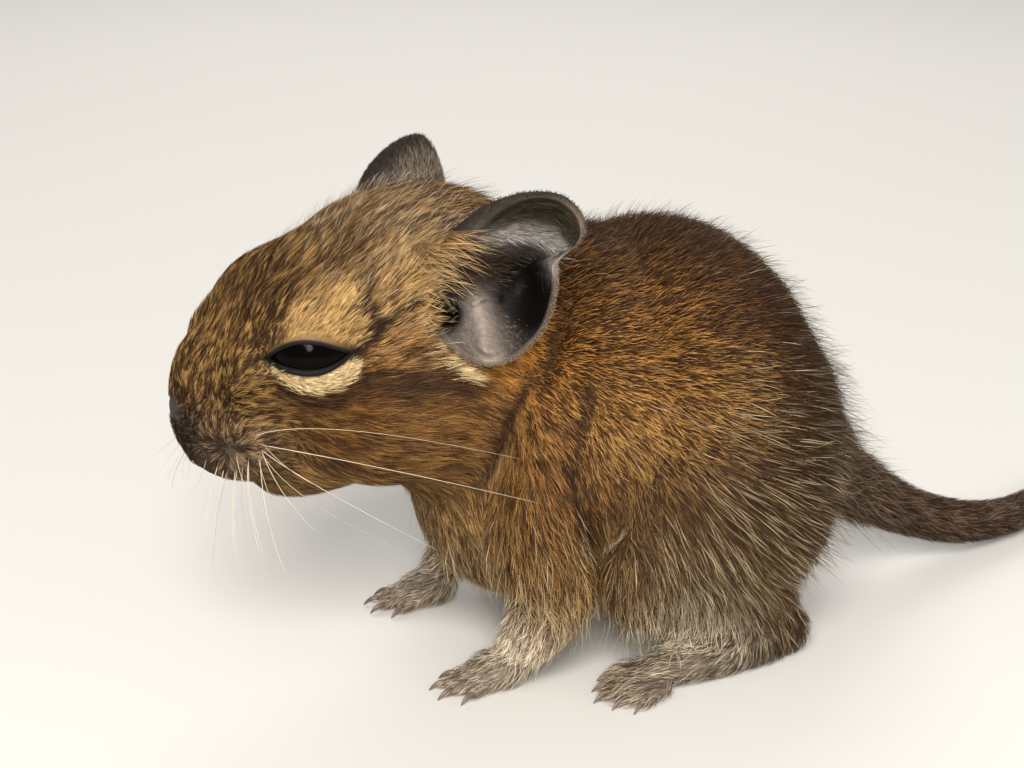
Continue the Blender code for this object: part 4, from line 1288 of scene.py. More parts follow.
skin_points = points_of(skin_mesh)
normals = np.empty(len(skin_mesh.vertices) * 3, np.float32)
skin_mesh.vertices.foreach_get("normal", normals)
normals = normals.reshape(-1, 3).astype(float)
h_points = through(HEAD_INV, skin_points)
skin_points += normals * (muzzle_moves(h_points, normals) + crease_moves(skin_points))[:, None]
for eye_side in (-1, 1):
    skin_points = work_eye(skin_points, eye_side)
skin_points = sink_under_ears(skin_points)
skin_points[:, 2] = np.maximum(skin_points[:, 2], 0.0)
set_points(skin_mesh, skin_points)
shade_smooth(skin_mesh)
note("worked")

ground, tip, dark = coat_colours(skin_points)
light = (tip @ np.array((0.21, 0.72, 0.07)))[:, None]
skin_tint = (0.26 + 0.45 * light) * (ground * 0.7 + tip * 0.3) * (1 - 0.35 * dark[:, None])
h_points = fold_sides(through(HEAD_INV, skin_points))
body_points = fold_sides(skin_points)


def tint_where(mask, colour):
    global skin_tint
    skin_tint = skin_tint * (1 - mask[:, None]) + np.asarray(colour) * mask[:, None]


nose_mask = np.exp(-(((h_points[:, 0] - 9.3) / 1.4) ** 2 + (h_points[:, 1] / 1.6) ** 2 + ((h_points[:, 2] + 2.8) / 1.1) ** 2))
tint_where(np.clip(nose_mask * 1.6, 0, 1), srgb(52, 42, 40))
lips = polyline_distance(h_points, MOUTH)[0]
tint_where(0.8 * np.exp(-((lips / 0.4) ** 2)), srgb(92, 62, 56))
sole = (1 - smoothstep(body_points[:, 2], 0.10, 0.55)) * (body_points[:, 0] < 22)
tint_where(0.9 * sole, srgb(150, 118, 108))
digits = (1 - smoothstep(body_points[:, 2], 1.4, 2.2)) * (
    ((body_points[:, 0] < -5.0) & (body_points[:, 1] > 4)) | ((body_points[:, 0] > -0.5) & (body_points[:, 0] < 6.5) & (body_points[:, 1] > 9))
)
tint_where(0.75 * digits * (1 - sole), srgb(112, 92, 84))
colour_points(skin_mesh, skin_tint)

skin_mat = skin_material("skin", 0.62, 2600.0, 0.5)
metre_points = to_metres(skin_points)
set_points(skin_mesh, metre_points)
skin = link(skin_mesh, "skin", skin_mat)
skin_mesh.name = "skin"

FLESH = (
    "head", "neck", "trunk", "tail_base", "tail_mid", "tail_tip",
    "foreleg_left", "foreleg_right", "hindleg_left", "hindleg_right",
    "forefoot_left", "forefoot_right", "hindfoot_left", "hindfoot_right",
)
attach(skin, "root")
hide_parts(*FLESH)


# ================================================================ pieces: eyes and lids
eye_mat = eye_material()
lid_mat = skin_material("lid", 0.6, 3000.0, 0.35, 0.12, 0.12)
for eye_side, word in ((-1, "left"), (1, "right")):
    bm = bmesh.new()
    bmesh.ops.create_uvsphere(bm, u_segments=64, v_segments=40, radius=EYE_RADIUS)
    for v in bm.verts:  # a slightly fuller cornea
        swell = 0.10 * math.exp(-((1 - v.co.z / EYE_RADIUS) / 0.12) ** 1.0)
        v.co *= 1 + swell / EYE_RADIUS * 0.5
    mesh = mesh_of(bm, f"eyeball_{word}")
    local = points_of(mesh)
    world = through(HEAD, from_eye(local, eye_side))
    set_points(mesh, to_metres(world))
    bm = bmesh.new()
    bm.from_mesh(mesh)
    bmesh.ops.recalc_face_normals(bm, faces=bm.faces)
    bm.to_mesh(mesh)
    bm.free()
    shade_smooth(mesh)
    ball = link(mesh, f"eyeball_{word}", eye_mat)
    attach(ball, "root")
    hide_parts(f"eye_{word}")

    # The lids' bare rims
    ring, which = lid_outline(128)
    share = ring[:, 0] / LID_HALF
    middle = (1 - share**2).clip(0, 1)
    rho = np.linalg.norm(ring, axis=1)
    lift = np.where(which > 0, 0.10, 0.10)
    out = sphere_height(rho, EYE_RADIUS + lift)
    path = np.concatenate((ring, out[:, None]), 1)
    thick = np.where(which > 0, 0.09 + 0.04 * middle, 0.10 + 0.14 * middle)
    pts, loops, counts = tube_arrays(path, thick, 10, up=(0, 0, 1), close=True)
    world = through(HEAD, from_eye(pts, eye_side))
    mesh = array_mesh(f"lid_{word}", to_metres(world), loops, counts)
    bm = bmesh.new()
    bm.from_mesh(mesh)
    bmesh.ops.recalc_face_normals(bm, faces=bm.faces)
    bm.to_mesh(mesh)
    bm.free()
    shade_smooth(mesh)
    colour_points(mesh, np.tile(srgb(21, 18, 17), (len(pts), 1)))
    rim = link(mesh, f"lid_{word}", lid_mat)
    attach(rim, "root")


# ================================================================ pieces: ears
ear_mat = skin_material("ear_skin", 0.6, 2200.0, 0.35, 0.18, 0.10)
ear_objects = {}
for ear_side, word in ((-1, "left"), (1, "right")):
    obj = build_ear(ear_side, f"ear_shell_{word}", ear_mat)
    world = points_of(obj.data) / MM - SHIFT
    q = through(EARS_INV[ear_side], world)
    x, y = q[:, 0], q[:, 1]
    share = ear_share(q)
    front = q[:, 2] > ear_back(x, y) + 0.12
    base = np.tile(srgb(58, 52, 50), (len(q), 1))

    def spot(mask, colour):
        global base
        m = (mask * front)[:, None]
        base = base * (1 - m) + np.asarray(colour) * m

    spot(1.0 * smoothstep(y, 4.8, 7.0), srgb(46, 41, 34))
    spot(np.clip(1.1 * bump_at(x, y, 1.5, 3.6, 1.9, 2.2), 0, 0.9), srgb(52, 38, 33))
    # painted shade: the deep shell is painted nearly black in its hollow
    spot(np.clip(2.2 * bump_at(x, y, 4.9, 2.5, 2.1, 2.5, 12), 0, 1), srgb(8, 7, 7))
    # painted sheen: the ridge is painted pale silver
    spot(0.9 * along_line(x, y, EAR_RIDGE, 0.8)[0], srgb(164, 157, 151))
    spot(np.clip(1.2 * bump_at(x, y, 3.2, -1.5, 2.0, 1.5, -25), 0, 1), srgb(92, 84, 78))
    # pale lobe: partly its own pale grey skin, partly painted sheen
    spot(0.9 * along_line(x, y, EAR_LOBE + np.array((0.1, 0.0)), 0.7)[0], srgb(152, 140, 131))
    spot(0.6 * bump_at(x, y, 1.0, -2.2, 1.2, 0.8), srgb(104, 96, 90))
    # painted shade: the ear canal is painted black inside its hole
    spot(np.clip(2.0 * bump_at(x, y, *EAR_CANAL, 0.62, 0.78, 25), 0, 1), srgb(4, 3, 3))
    spot(0.8 * bump_at(x, y, 0.3, 0.9, 1.0, 1.1), srgb(18, 15, 14))
    rim_band = smoothstep(share, 0.90, 0.97) * smoothstep(q[:, 2] - ear_edge(ear_polar(x, y)[1])[1], -0.4, 0.05)
    base = base * (1 - 0.45 * rim_band[:, None]) + srgb(140, 122, 108) * 0.45 * rim_band[:, None]
    roll_front = smoothstep(np.cos(ear_polar(x, y)[1] - 2.15), 0.4, 0.8) * smoothstep(share, 0.88, 0.94)
    base = base * (1 - 0.8 * roll_front[:, None]) + srgb(30, 25, 21) * 0.8 * roll_front[:, None]
    colour_points(obj.data, base)
    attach(obj, "root")
    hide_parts(f"ear_{word}")
    ear_objects[ear_side] = obj
note("eyes and ears")


# ================================================================ pieces: claws
parts = []
for base_point, away, reach, radius, kind in claw_list:
    long = 1.15 if kind == "hand" else 1.35
    t = np.linspace(0, 1, 9)
    start = base_point.copy()
    start[2] = radius * 0.78
    drop = radius * 0.78 - 0.06
    path = start + away[None] * (long * t)[:, None]
    path[:, 2] += 0.10 * np.sin(np.pi * t) - drop * t**2.0
    radii = 0.21 * (1 - t) ** 0.75 + 0.025
    parts.append(tube_arrays(path, radii, 9, squash=1.15))
pts, loops, counts = join_arrays(parts)
pts[:, 2] = np.maximum(pts[:, 2], 0.0)
mesh = array_mesh("claws", to_metres(pts), loops, counts)
shade_smooth(mesh)
claw_mat, tree, shader = new_material("claw")
where = node(tree, "ShaderNodeTexCoord")
noise = node(tree, "ShaderNodeTexNoise")
noise.inputs["Scale"].default_value = 1800.0
ramp = node(tree, "ShaderNodeValToRGB")
ramp.color_ramp.elements[0].color = (*srgb(70, 56, 48), 1)
ramp.color_ramp.elements[1].color = (*srgb(128, 108, 92), 1)
tree.links.new(where.outputs["Object"], noise.inputs["Vector"])
tree.links.new(noise.outputs["Fac"], ramp.inputs["Fac"])
tree.links.new(ramp.outputs["Color"], shader.inputs["Base Color"])
shader.inputs["Roughness"].default_value = 0.32
claws = link(mesh, "claws", claw_mat)
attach(claws, "root")


# ================================================================ the coat
note("unwrap")
bpy.context.view_layer.objects.active = skin
skin.select_set(True)
low = link(skin_mesh.copy(), "low")
reduce = low.modifiers.new("reduce", "DECIMATE")
reduce.ratio = 9000 / max(1, 2 * len(skin_mesh.polygons))
graph = bpy.context.evaluated_depsgraph_get()
graph.update()
low_mesh = bpy.data.meshes.new_from_object(low.evaluated_get(graph))
bpy.data.objects.remove(low)
low = link(low_mesh, "low")
for o in bpy.context.selected_objects:
    o.select_set(False)
low.select_set(True)
bpy.context.view_layer.objects.active = low
bpy.ops.object.mode_set(mode="EDIT")
bpy.ops.mesh.select_all(action="SELECT")
bpy.ops.uv.smart_project(angle_limit=math.radians(66), island_margin=0.004)
bpy.ops.object.mode_set(mode="OBJECT")
low_mesh.calc_loop_triangles()
tri = np.empty(len(low_mesh.loop_triangles) * 3, np.int32)
low_mesh.loop_triangles.foreach_get("vertices", tri)
tri = tri.reshape(-1, 3)
tri_loops = np.empty(len(low_mesh.loop_triangles) * 3, np.int32)
low_mesh.loop_triangles.foreach_get("loops", tri_loops)
uv = np.empty(len(low_mesh.loops) * 2, np.float32)
low_mesh.uv_layers.active.data.foreach_get("uv", uv)
low_uv = uv.reshape(-1, 2)[tri_loops].reshape(-1, 3, 2)
low_points = points_of(low_mesh) / MM - SHIFT
low_tri = tri
low_bvh = BVHTree.FromPolygons(low_points.tolist(), low_tri.tolist())
bpy.data.objects.remove(low)
note("unwrapped")


def unwrap_at(points):
    """Place of points on the skin's unwrap."""
    found = np.array([low_bvh.find_nearest(p)[2] for p in points.tolist()])
    a, b, c = (low_points[low_tri[found, k]] for k in range(3))
    ab, ac, ap = b - a, c - a, points - a
    d00, d01, d11 = (ab * ab).sum(1), (ab * ac).sum(1), (ac * ac).sum(1)
    d20, d21 = (ap * ab).sum(1), (ap * ac).sum(1)
    det = np.maximum(d00 * d11 - d01 * d01, 1e-12)
    v = np.clip((d11 * d20 - d01 * d21) / det, 0, 1)
    w = np.clip((d00 * d21 - d01 * d20) / det, 0, 1 - v)
    place = low_uv[found]
    return place[:, 0] * (1 - v - w)[:, None] + place[:, 1] * v[:, None] + place[:, 2] * w[:, None]


skin_mesh.calc_loop_triangles()
tri = np.empty(len(skin_mesh.loop_triangles) * 3, np.int32)
skin_mesh.loop_triangles.foreach_get("vertices", tri)
skin_tri = tri.reshape(-1, 3)
skin_normals = np.empty(len(skin_mesh.vertices) * 3, np.float32)
skin_mesh.vertices.foreach_get("normal", skin_normals)
skin_normals = skin_normals.reshape(-1, 3).astype(float)
skin_bvh = BVHTree.FromPolygons(skin_points.tolist(), skin_tri.tolist())
ear_bvhs = {}
for ear_side, obj in ear_objects.items():
    obj.data.calc_loop_triangles()
    t = np.empty(len(obj.data.loop_triangles) * 3, np.int32)
    obj.data.loop_triangles.foreach_get("vertices", t)
    ear_bvhs[ear_side] = BVHTree.FromPolygons(
        (points_of(obj.data) / MM - SHIFT).tolist(), t.reshape(-1, 3).tolist()
    )
tri_a, tri_b, tri_c = (skin_points[skin_tri[:, k]] for k in range(3))
tri_area = 0.5 * np.linalg.norm(np.cross(tri_b - tri_a, tri_c - tri_a), axis=1)
tri_middle = (tri_a + tri_b + tri_c) / 3
note("trees")


def bare(points):
    """True where no hair grows: inside the lids, nostrils, soles, under the ears' cups."""
    h = through(HEAD_INV, points)
    hf = fold_sides(h)
    no = np.zeros(len(points), bool)
    for side in (-1, 1):
        q = to_eye(h, side)
        near = np.linalg.norm(q, axis=1) < 4.4
        distance, inside = near_lids(q)
        no |= near & (inside | (distance < 0.20))
    no |= points[:, 2] < 0.28
    no |= (hf[:, 0] > 8.6) & (np.abs(hf[:, 1]) < 0.85) & (np.abs(hf[:, 2] + 2.75) < 0.65)
    slit = polyline_distance(hf, np.array(((9.3, 0.78, -3.15), (9.2, 1.25, -2.95), (8.9, 1.70, -2.45))))[0]
    no |= slit < 0.34
    # Deep under the ears
    for side in (-1, 1):
        q = through(EARS_INV[side], points)
        share = ear_share(q)
        behind = (q[:, 0] > 3.5) & (share > 0.62) & (q[:, 2] < -2.2)
        no |= (share < 1.0) & (q[:, 2] > -6.5) & (q[:, 2] < 1.0) & ~behind
    return no


def scatter(count, weight):
    """Roots on the skin, with their normals."""
    w = tri_area * weight
    total = np.cumsum(w)
    pick = np.searchsorted(total, rng.random(count) * total[-1])
    r1, r2 = np.sqrt(rng.random(count)), rng.random(count)
    wa, wb, wc = 1 - r1, r1 * (1 - r2), r1 * r2
    place = tri_a[pick] * wa[:, None] + tri_b[pick] * wb[:, None] + tri_c[pick] * wc[:, None]
    n = (
        skin_normals[skin_tri[pick, 0]] * wa[:, None]
        + skin_normals[skin_tri[pick, 1]] * wb[:, None]
        + skin_normals[skin_tri[pick, 2]] * wc[:, None]
    )
    keep = ~bare(place)
    return place[keep], unit(n[keep])


def on_skin(points):
    """Nearest skin place and its smooth normal."""
    places, faces = [], []
    for p in points.tolist():
        place, _, face, _ = skin_bvh.find_nearest(p)
        places.append(place[:])
        faces.append(face)
    faces = np.array(faces)
    n = unit(skin_normals[skin_tri[faces]].sum(1))
    return np.array(places), n


SHORT, LONG = np.array((0.0, 0.55, 1.0)), np.array((0.0, 0.45, 0.78, 1.0))


def ribbons(centres, normals_at, width, shares, roll=0.45):
    """Tapered ribbons about centre lines: (blades, 2 * steps + 1, 3)."""
    count, steps = len(centres), len(shares) - 1
    turn = rng.normal(0, roll, count)[:, None]
    out = np.empty((count, 2 * steps + 1, 3))
    for k in range(steps):
        ahead = unit(centres[:, k + 1] - centres[:, max(k - 1, 0)])
        across = unit(np.cross(normals_at[:, k], ahead))
        over = np.cross(ahead, across)
        edge = across * np.cos(turn) + over * np.sin(turn)
        half = (0.5 * width * (1 - 0.75 * shares[k] ** 1.6))[:, None]
        out[:, 2 * k] = centres[:, k] - edge * half
        out[:, 2 * k + 1] = centres[:, k] + edge * half
    out[:, -1] = centres[:, -1]
    return out


def blades(
    roots, n, way, length, height, width, shares, clump, gather, bend, lift_power=1.7, follow=0.85, stray=0.12
):
    """Blades over the skin, gathered in tufts, and the leading blade of each one's tuft."""
    count, steps = len(roots), len(shares) - 1
    side_way = np.cross(n, way)
    turn = rng.normal(0, stray, count)[:, None]
    way = unit(way * np.cos(turn) + side_way * np.sin(turn))
    side_way = np.cross(n, way)
    curve = rng.normal(0, bend, count)
    centres = np.zeros((count, steps + 1, 3))
    centres[:, 0] = roots - n * 0.12
    normals_at = np.repeat(n[:, None], steps + 1, 1)
    seen = np.zeros((count, 3))  # place on the skin under the end that shows
    run = np.sqrt(np.maximum(length**2 - height**2, (0.3 * length) ** 2))
    for k in range(1, steps + 1):
        s = shares[k]
        flat = roots + way * (run * s)[:, None] + side_way * (run * (curve * s * s))[:, None]
        place, local = on_skin(flat)
        if k >= steps - 1:
            seen += place * (0.4 if k < steps else 0.6)
        h = (height * (1 - (1 - s) ** lift_power))[:, None]
        centres[:, k] = (place + local * h) * follow + (flat + n * h) * (1 - follow)
        normals_at[:, k] = unit(local * follow + n * (1 - follow))
    lead = np.arange(count)
    if gather > 0 and count > 50:  # hairs of one tuft lean together
        heads = np.arange(0, count, clump)
        tree = KDTree(len(heads))
        for i, j in enumerate(heads):
            tree.insert(roots[j], int(i))
        tree.balance()
        lead = heads[np.array([tree.find(p)[1] for p in roots.tolist()])]
        strength = gather * rng.uniform(0.5, 1.15, count)
        strength = strength * (np.linalg.norm(roots[lead] - roots, axis=1) < 1.2)
        for k in range(1, steps + 1):
            pull = (strength * shares[k] ** 1.3)[:, None]
            centres[:, k] += (centres[lead, k] - centres[:, k]) * pull
    return ribbons(centres, normals_at, width, shares), lead, seen


def free_blades(roots, n, way, length, lift, width, shares, bend=0.12, lift_power=1.6):
    """Blades that stand on their own, without following the skin."""
    way = unit(way - n * (way * n).sum(1, keepdims=True))
    side_way = np.cross(n, way)
    curve = rng.normal(0, bend, len(roots))
    centres = np.stack(
        [
            roots
            - n * (0.04 if s == 0 else 0.0)
            + way * (length * s)[:, None]
            + side_way * (length * curve * s * s)[:, None]
            + n * (lift * (1 - (1 - s) ** lift_power))[:, None]
            for s in shares
        ],
        1,
    )
    return ribbons(centres, np.repeat(n[:, None], len(shares), 1), width, shares)


def crosses_ear(points):
    """True for blades that would pass through an ear."""
    bad = np.zeros(len(points), bool)
    first, last = points[:, 0], points[:, -1]
    for side, tree in ear_bvhs.items():
        q = through(EARS_INV[side], last)
        near = np.where(np.linalg.norm(q - np.array((3, 3, -1)), axis=1) < 10)[0]
        for i in near.tolist():
            a, b = Vector(first[i]), Vector(last[i])
            d = b - a
            if d.length > 1e-6 and tree.ray_cast(a, d.normalized(), d.length)[0] is not None:
                bad[i] = True
    return bad


def blade_colours(shares, ground, tip, dark_share, lead, banding=0.5, together=0.65):
    """Dark hairs, banded ones with a dark end, and ones with a pale end, mixed tuft by tuft."""
    count = len(ground)
    pick = (1 - together) * rng.random(count) + together * rng.random(count)[lead]
    rank = np.empty(count)
    rank[np.argsort(pick)] = (np.arange(count) + 0.5) / count
    is_dark = rank < dark_share
    is_banded = ~is_dark & (rank < dark_share + (1 - dark_share) * banding * np.clip(dark_share / 0.3, 0, 1))
    tone = np.exp(rng.normal(0, 0.13, count) + 0.45 * (rng.random(count)[lead] - 0.5))[:, None]
    light = (tip @ np.array((0.21, 0.72, 0.07)))[:, None]
    # each hair darkens towards its root: partly the hair's own dark base, partly painted shade deep in the coat
    root = ground * (0.20 + 0.45 * light)
    middle = ground * (0.55 + 0.40 * light)
    black = (UMBER * 0.8 + 0.20 * ground) * (0.7 + 0.6 * rng.random(count))[:, None]
    pale = (root, middle, tip * tone, tip * tone * 1.14)
    banded = (root, middle * 0.9, tip * tone * 1.05, black * 1.3)
    dusky = (root * 0.8, black * 1.3, black * 1.15, black)
    stops = np.where(
        is_dark[:, None, None],
        np.stack(dusky, 1),
        np.where(is_banded[:, None, None], np.stack(banded, 1), np.stack(pale, 1)),
    )
    colours = []
    for s in np.concatenate((np.repeat(shares[:-1], 2), [1.0])):
        at = np.interp(s, (0.0, 0.42, 0.76, 1.0), (0.0, 1.0, 2.0, 3.0))
        k = min(int(at), 2)
        colours.append(stops[:, k] * (1 - at + k) + stops[:, k + 1] * (at - k))
    return np.clip(np.stack(colours, 1), 0.0, 0.98)


coat_mat = coat_material()
PIECE_LIMIT = 190_000
totals = {"tris": 0, "hairs": 0}


def add_coat(name, sets):
    """Joins sets of blades (points, colours, uv at the root) into pieces under the limit."""
    tris = sum((2 * ((p.shape[1] - 1) // 2) - 1) * len(p) for p, _, _ in sets)
    pieces = max(1, math.ceil(tris / PIECE_LIMIT))
    for number in range(pieces):
        parts, colours, uvs = [], [], []
        for points, tint, root_uv in sets:
            points, tint, root_uv = points[number::pieces], tint[number::pieces], root_uv[number::pieces]
            count, corners = len(points), points.shape[1]
            points = np.concatenate((points[:, :, :2], np.maximum(points[:, :, 2:], 0.02)), 2)
            if not count:
                continue
            steps = (corners - 1) // 2
            base = (np.arange(count) * corners)[:, None]
            loops, shape = [], []
            for k in range(steps - 1):
                loops += [2 * k, 2 * k + 1, 2 * k + 3, 2 * k + 2]
                shape.append(4)
            loops += [2 * steps - 2, 2 * steps - 1, 2 * steps]
            shape.append(3)
            loops = np.array(loops)
            parts.append(
                (to_metres(points.reshape(-1, 3)), (base + loops[None]).ravel(), np.tile(np.array(shape), count))
            )
            colours.append(tint.reshape(-1, 3))
            along = np.concatenate((np.repeat(np.arange(steps) / steps, 2), [1.0]))
            across = np.concatenate((np.tile([0.0, 1.0], steps), [0.5]))
            patch = np.stack((across, along), 1) * 0.003 - 0.0015
            local = patch[loops]
            uvs.append((root_uv[:, None] + local[None]).reshape(-1, 2))
        points, loops, counts = join_arrays(parts)
        mesh = array_mesh(f"{name}_{number + 1}", points, loops, counts)
        shade_smooth(mesh)
        colour_points(mesh, np.concatenate(colours))
        layer = mesh.uv_layers.new(name="OFBake")
        layer.data.foreach_set("uv", np.clip(np.concatenate(uvs), 0.0005, 0.9995).astype(np.float32).ravel())
        obj = link(mesh, f"{name}_{number + 1}", coat_mat)
        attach(obj, "root")
        totals["tris"] += int((counts - 2).sum())


def grow(
    count, weight, shares, width, clump, gather, bend,
    length_scale=1.0, height_scale=1.0, shade=1.0, spread=0.25, recolour=None, long=None,
    banding=0.5, together=0.65, **more,
):
    """Blades scattered over part of the skin: their points, colours and places on the unwrap."""
    roots, n = scatter(count, weight)
    length, height = coat_lengths(roots)
    size = np.exp(rng.normal(0, spread, len(roots))).clip(0.5, 1.7)
    if long:
        length = rng.uniform(*long, len(roots))
        height = height * height_scale * (0.7 + 0.6 * rng.random(len(roots)))
    else:
        length, height = length * size * length_scale, height * height_scale * (0.55 + 0.45 * size)
    wide = width * (0.75 + 0.5 * rng.random(len(roots)))
    points, lead, seen = blades(
        roots, n, coat_lie(roots, n), length, height, wide, shares, clump, gather, bend, **more
    )
    low, high, share = coat_colours(seen, 0.08)
    if recolour:
        low, high, share = recolour(roots, low, high, share)
    keep = ~crosses_ear(points)
    tint = blade_colours(shares, low, high, share, lead, banding, together) * shade
    totals["hairs"] += int(keep.sum())
    return points[keep], tint[keep], unwrap_at(roots[keep])


AMOUNT = 1.0
h_middle = fold_sides(through(HEAD_INV, tri_middle))
b_middle = fold_sides(tri_middle)
head_share = smoothstep(h_middle[:, 0], -13.5, -11.0) * (1 - smoothstep(-h_middle[:, 2], 14.0, 17.0))
muzzle_share = smoothstep(h_middle[:, 0], 2.0, 4.5) * head_share
tail_share = smoothstep(tri_middle[:, 0], 27.0, 29.0)
foot_share = (1 - smoothstep(tri_middle[:, 2], 2.0, 3.4)) * (tri_middle[:, 0] < 22)
body_share = (1 - head_share) * (1 - tail_share) * (1 - foot_share)
hidden = 1 - 0.55 * (b_middle[:, 1] < 7.5) * (tri_middle[:, 2] < 7) * (tri_middle[:, 0] < 24)


def ear_roots(x, y, inner):
    """Places and outward normals on a face of the ear, in the ear's frame."""
    face = (lambda a, b: ear_floor(a, b)[0]) if inner else ear_back
    step = 0.04
    z = face(x, y)
    slope_x = (face(x + step, y) - face(x - step, y)) / (2 * step)
    slope_y = (face(x, y + step) - face(x, y - step)) / (2 * step)
    n = unit(np.stack((-slope_x, -slope_y, np.ones_like(x)), 1))
    return np.stack((x, y, z), 1), n if inner else -n


def ear_unwrap(side, q, inner):
    """Place on the ears' own unwrap: each face of each ear is laid flat in a quarter of it."""
    u = 0.03 + 0.44 * (q[:, 0] + 1.8) / 9.4 + (0.0 if inner else 0.5)
    v = 0.03 + 0.44 * (q[:, 1] + 3.6) / 13.8 + (0.0 if side < 0 else 0.5)
    return np.stack((u, v), 1)


def ear_spots(count, accept):
    x, y = rng.uniform(-1.5, 7.2, count * 8), rng.uniform(-3.3, 9.7, count * 8)
    keep = np.where(accept(x, y) > rng.random(len(x)))[0][:count]
    return x[keep], y[keep]


def ear_hairs(side):
    """Down on both faces of an ear and on its rim."""
    sets = []

    def put(q, n, way, length, lift, width, low, high, inner, shares=SHORT, dark=0.0, bend=0.12):
        count = len(q)
        points = free_blades(q, n, way, length, lift, np.full(count, width), shares, bend)
        world = through(EARS[side], points.reshape(-1, 3)).reshape(points.shape)
        low, high = np.broadcast_to(low, (count, 3)), np.broadcast_to(high, (count, 3))
        tint = blade_colours(shares, low, high, np.full(count, dark), np.arange(count), 0.0)
        sets.append((world, tint, ear_unwrap(side, q, inner)))

    def within(x, y):
        far, heading = ear_polar(x, y)
        reach, _, roll = ear_edge(heading)
        return far / (reach - roll)

    # down in the upper hollow and along the ridge
    count = int(2600 * AMOUNT)
    x, y = ear_spots(count, lambda a, b: (within(a, b) < 0.97) * smoothstep(b, 3.4, 5.4))
    q, n = ear_roots(x, y, True)
    way = np.array((1.0, 0.12, 0.0)) + rng.normal(0, 0.16, (len(q), 3))
    # painted sheen: the down along the ridge is made paler
    ridge = along_line(x, y, EAR_RIDGE, 0.8)[0][:, None]
    low = srgb(48, 43, 35) * (1 - ridge) + srgb(120, 114, 112) * ridge
    high = srgb(96, 87, 68) * (1 - ridge) + srgb(186, 180, 176) * ridge
    put(q, n, way, rng.uniform(0.7, 1.5, len(q)), rng.uniform(0.10, 0.28, len(q)), 0.034, low, high, True, dark=0.12)
    # short down in the front hollow and low on the lobe
    x, y = ear_spots(int(1100 * AMOUNT), lambda a, b: (within(a, b) < 0.95) * bump_at(a, b, 1.5, 3.4, 1.3, 1.8))
    q, n = ear_roots(x, y, True)
    way = np.array((1.0, 0.2, 0.0)) + rng.normal(0, 0.2, (len(q), 3))
    put(q, n, way, rng.uniform(0.5, 1.0, len(q)), np.full(len(q), 0.15), 0.032, srgb(60, 46, 38), srgb(104, 84, 66), True, dark=0.25)
    # the pale down on the lobe: partly its own pale colour, partly painted sheen
    x, y = ear_spots(int(900 * AMOUNT), lambda a, b: (within(a, b) < 0.98) * (1 - smoothstep(b, -1.0, 0.8)) * (np.hypot(a - 0.75, b + 0.9) > 0.9))
    q, n = ear_roots(x, y, True)
    way = np.array((0.8, -0.5, 0.0)) + rng.normal(0, 0.2, (len(q), 3))
    put(q, n, way, rng.uniform(0.3, 0.6, len(q)), np.full(len(q), 0.08), 0.022, srgb(176, 163, 152), srgb(148, 136, 126), True)
    # rim
    count = int(2600 * AMOUNT)
    heading = rng.uniform(-np.pi, np.pi, count)
    turn = rng.uniform(0.25, 0.95, count) * np.pi
    reach, rim, roll = ear_edge(heading)
    away = np.stack((np.cos(heading), np.sin(heading)), 1)
    edge = EAR_HUB + away * reach[:, None]
    flat = EAR_HUB + away * (reach - roll * (1 + np.cos(turn)) / 2)[:, None]
    lift = rim + (0.10 + 0.24 * roll) * np.sin(turn)
    lift = lift + (ear_back(edge[:, 0], edge[:, 1]) - rim) * (1 - np.cos(turn)) / 2
    q = np.concatenate((flat, lift[:, None]), 1)
    n = unit(np.concatenate((away * -np.cos(turn)[:, None], np.sin(turn)[:, None]), 1))
    way = np.concatenate((away, np.full((count, 1), 0.25)), 1) + rng.normal(0, 0.25, (count, 3))
    front = (smoothstep(np.cos(heading - 2.15), 0.35, 0.75) * smoothstep(turn, 0.2 * np.pi, 0.4 * np.pi))[:, None]
    low = srgb(98, 84, 70) * (1 - front) + srgb(30, 25, 21) * front
    high = srgb(176, 158, 134) * (1 - front) + srgb(56, 46, 37) * front
    put(q, n, way, rng.uniform(0.10, 0.24, count), rng.uniform(0.03, 0.10, count), 0.026, low, high, True, dark=0.05)
    # outer face
    x, y = ear_spots(int(5200 * AMOUNT), lambda a, b: 1.0 * (ear_polar(a, b)[0] / ear_edge(ear_polar(a, b)[1])[0] < 0.995))
    q, n = ear_roots(x, y, False)
    heading = ear_polar(x, y)[1]
    way = np.stack((np.cos(heading), np.sin(heading), np.zeros(len(q))), 1) + rng.normal(0, 0.16, (len(q), 3))
    room = ear_edge(heading)[0] - ear_polar(x, y)[0]
    front = (smoothstep(np.cos(heading - 2.25), 0.3, 0.75) * (1 - smoothstep(room, 0.5, 1.6)))[:, None]
    low = srgb(66, 58, 50) * (1 - front) + srgb(26, 21, 18) * front
    high = srgb(150, 137, 120) * (1 - front) + srgb(58, 46, 36) * front
    long = np.minimum(rng.uniform(0.7, 1.2, len(q)), 0.16 + 0.8 * room)  # shorter towards the rim
    put(q, n, way, long, rng.uniform(0.10, 0.24, len(q)), 0.045, low, high, False, dark=0.22)
    return sets


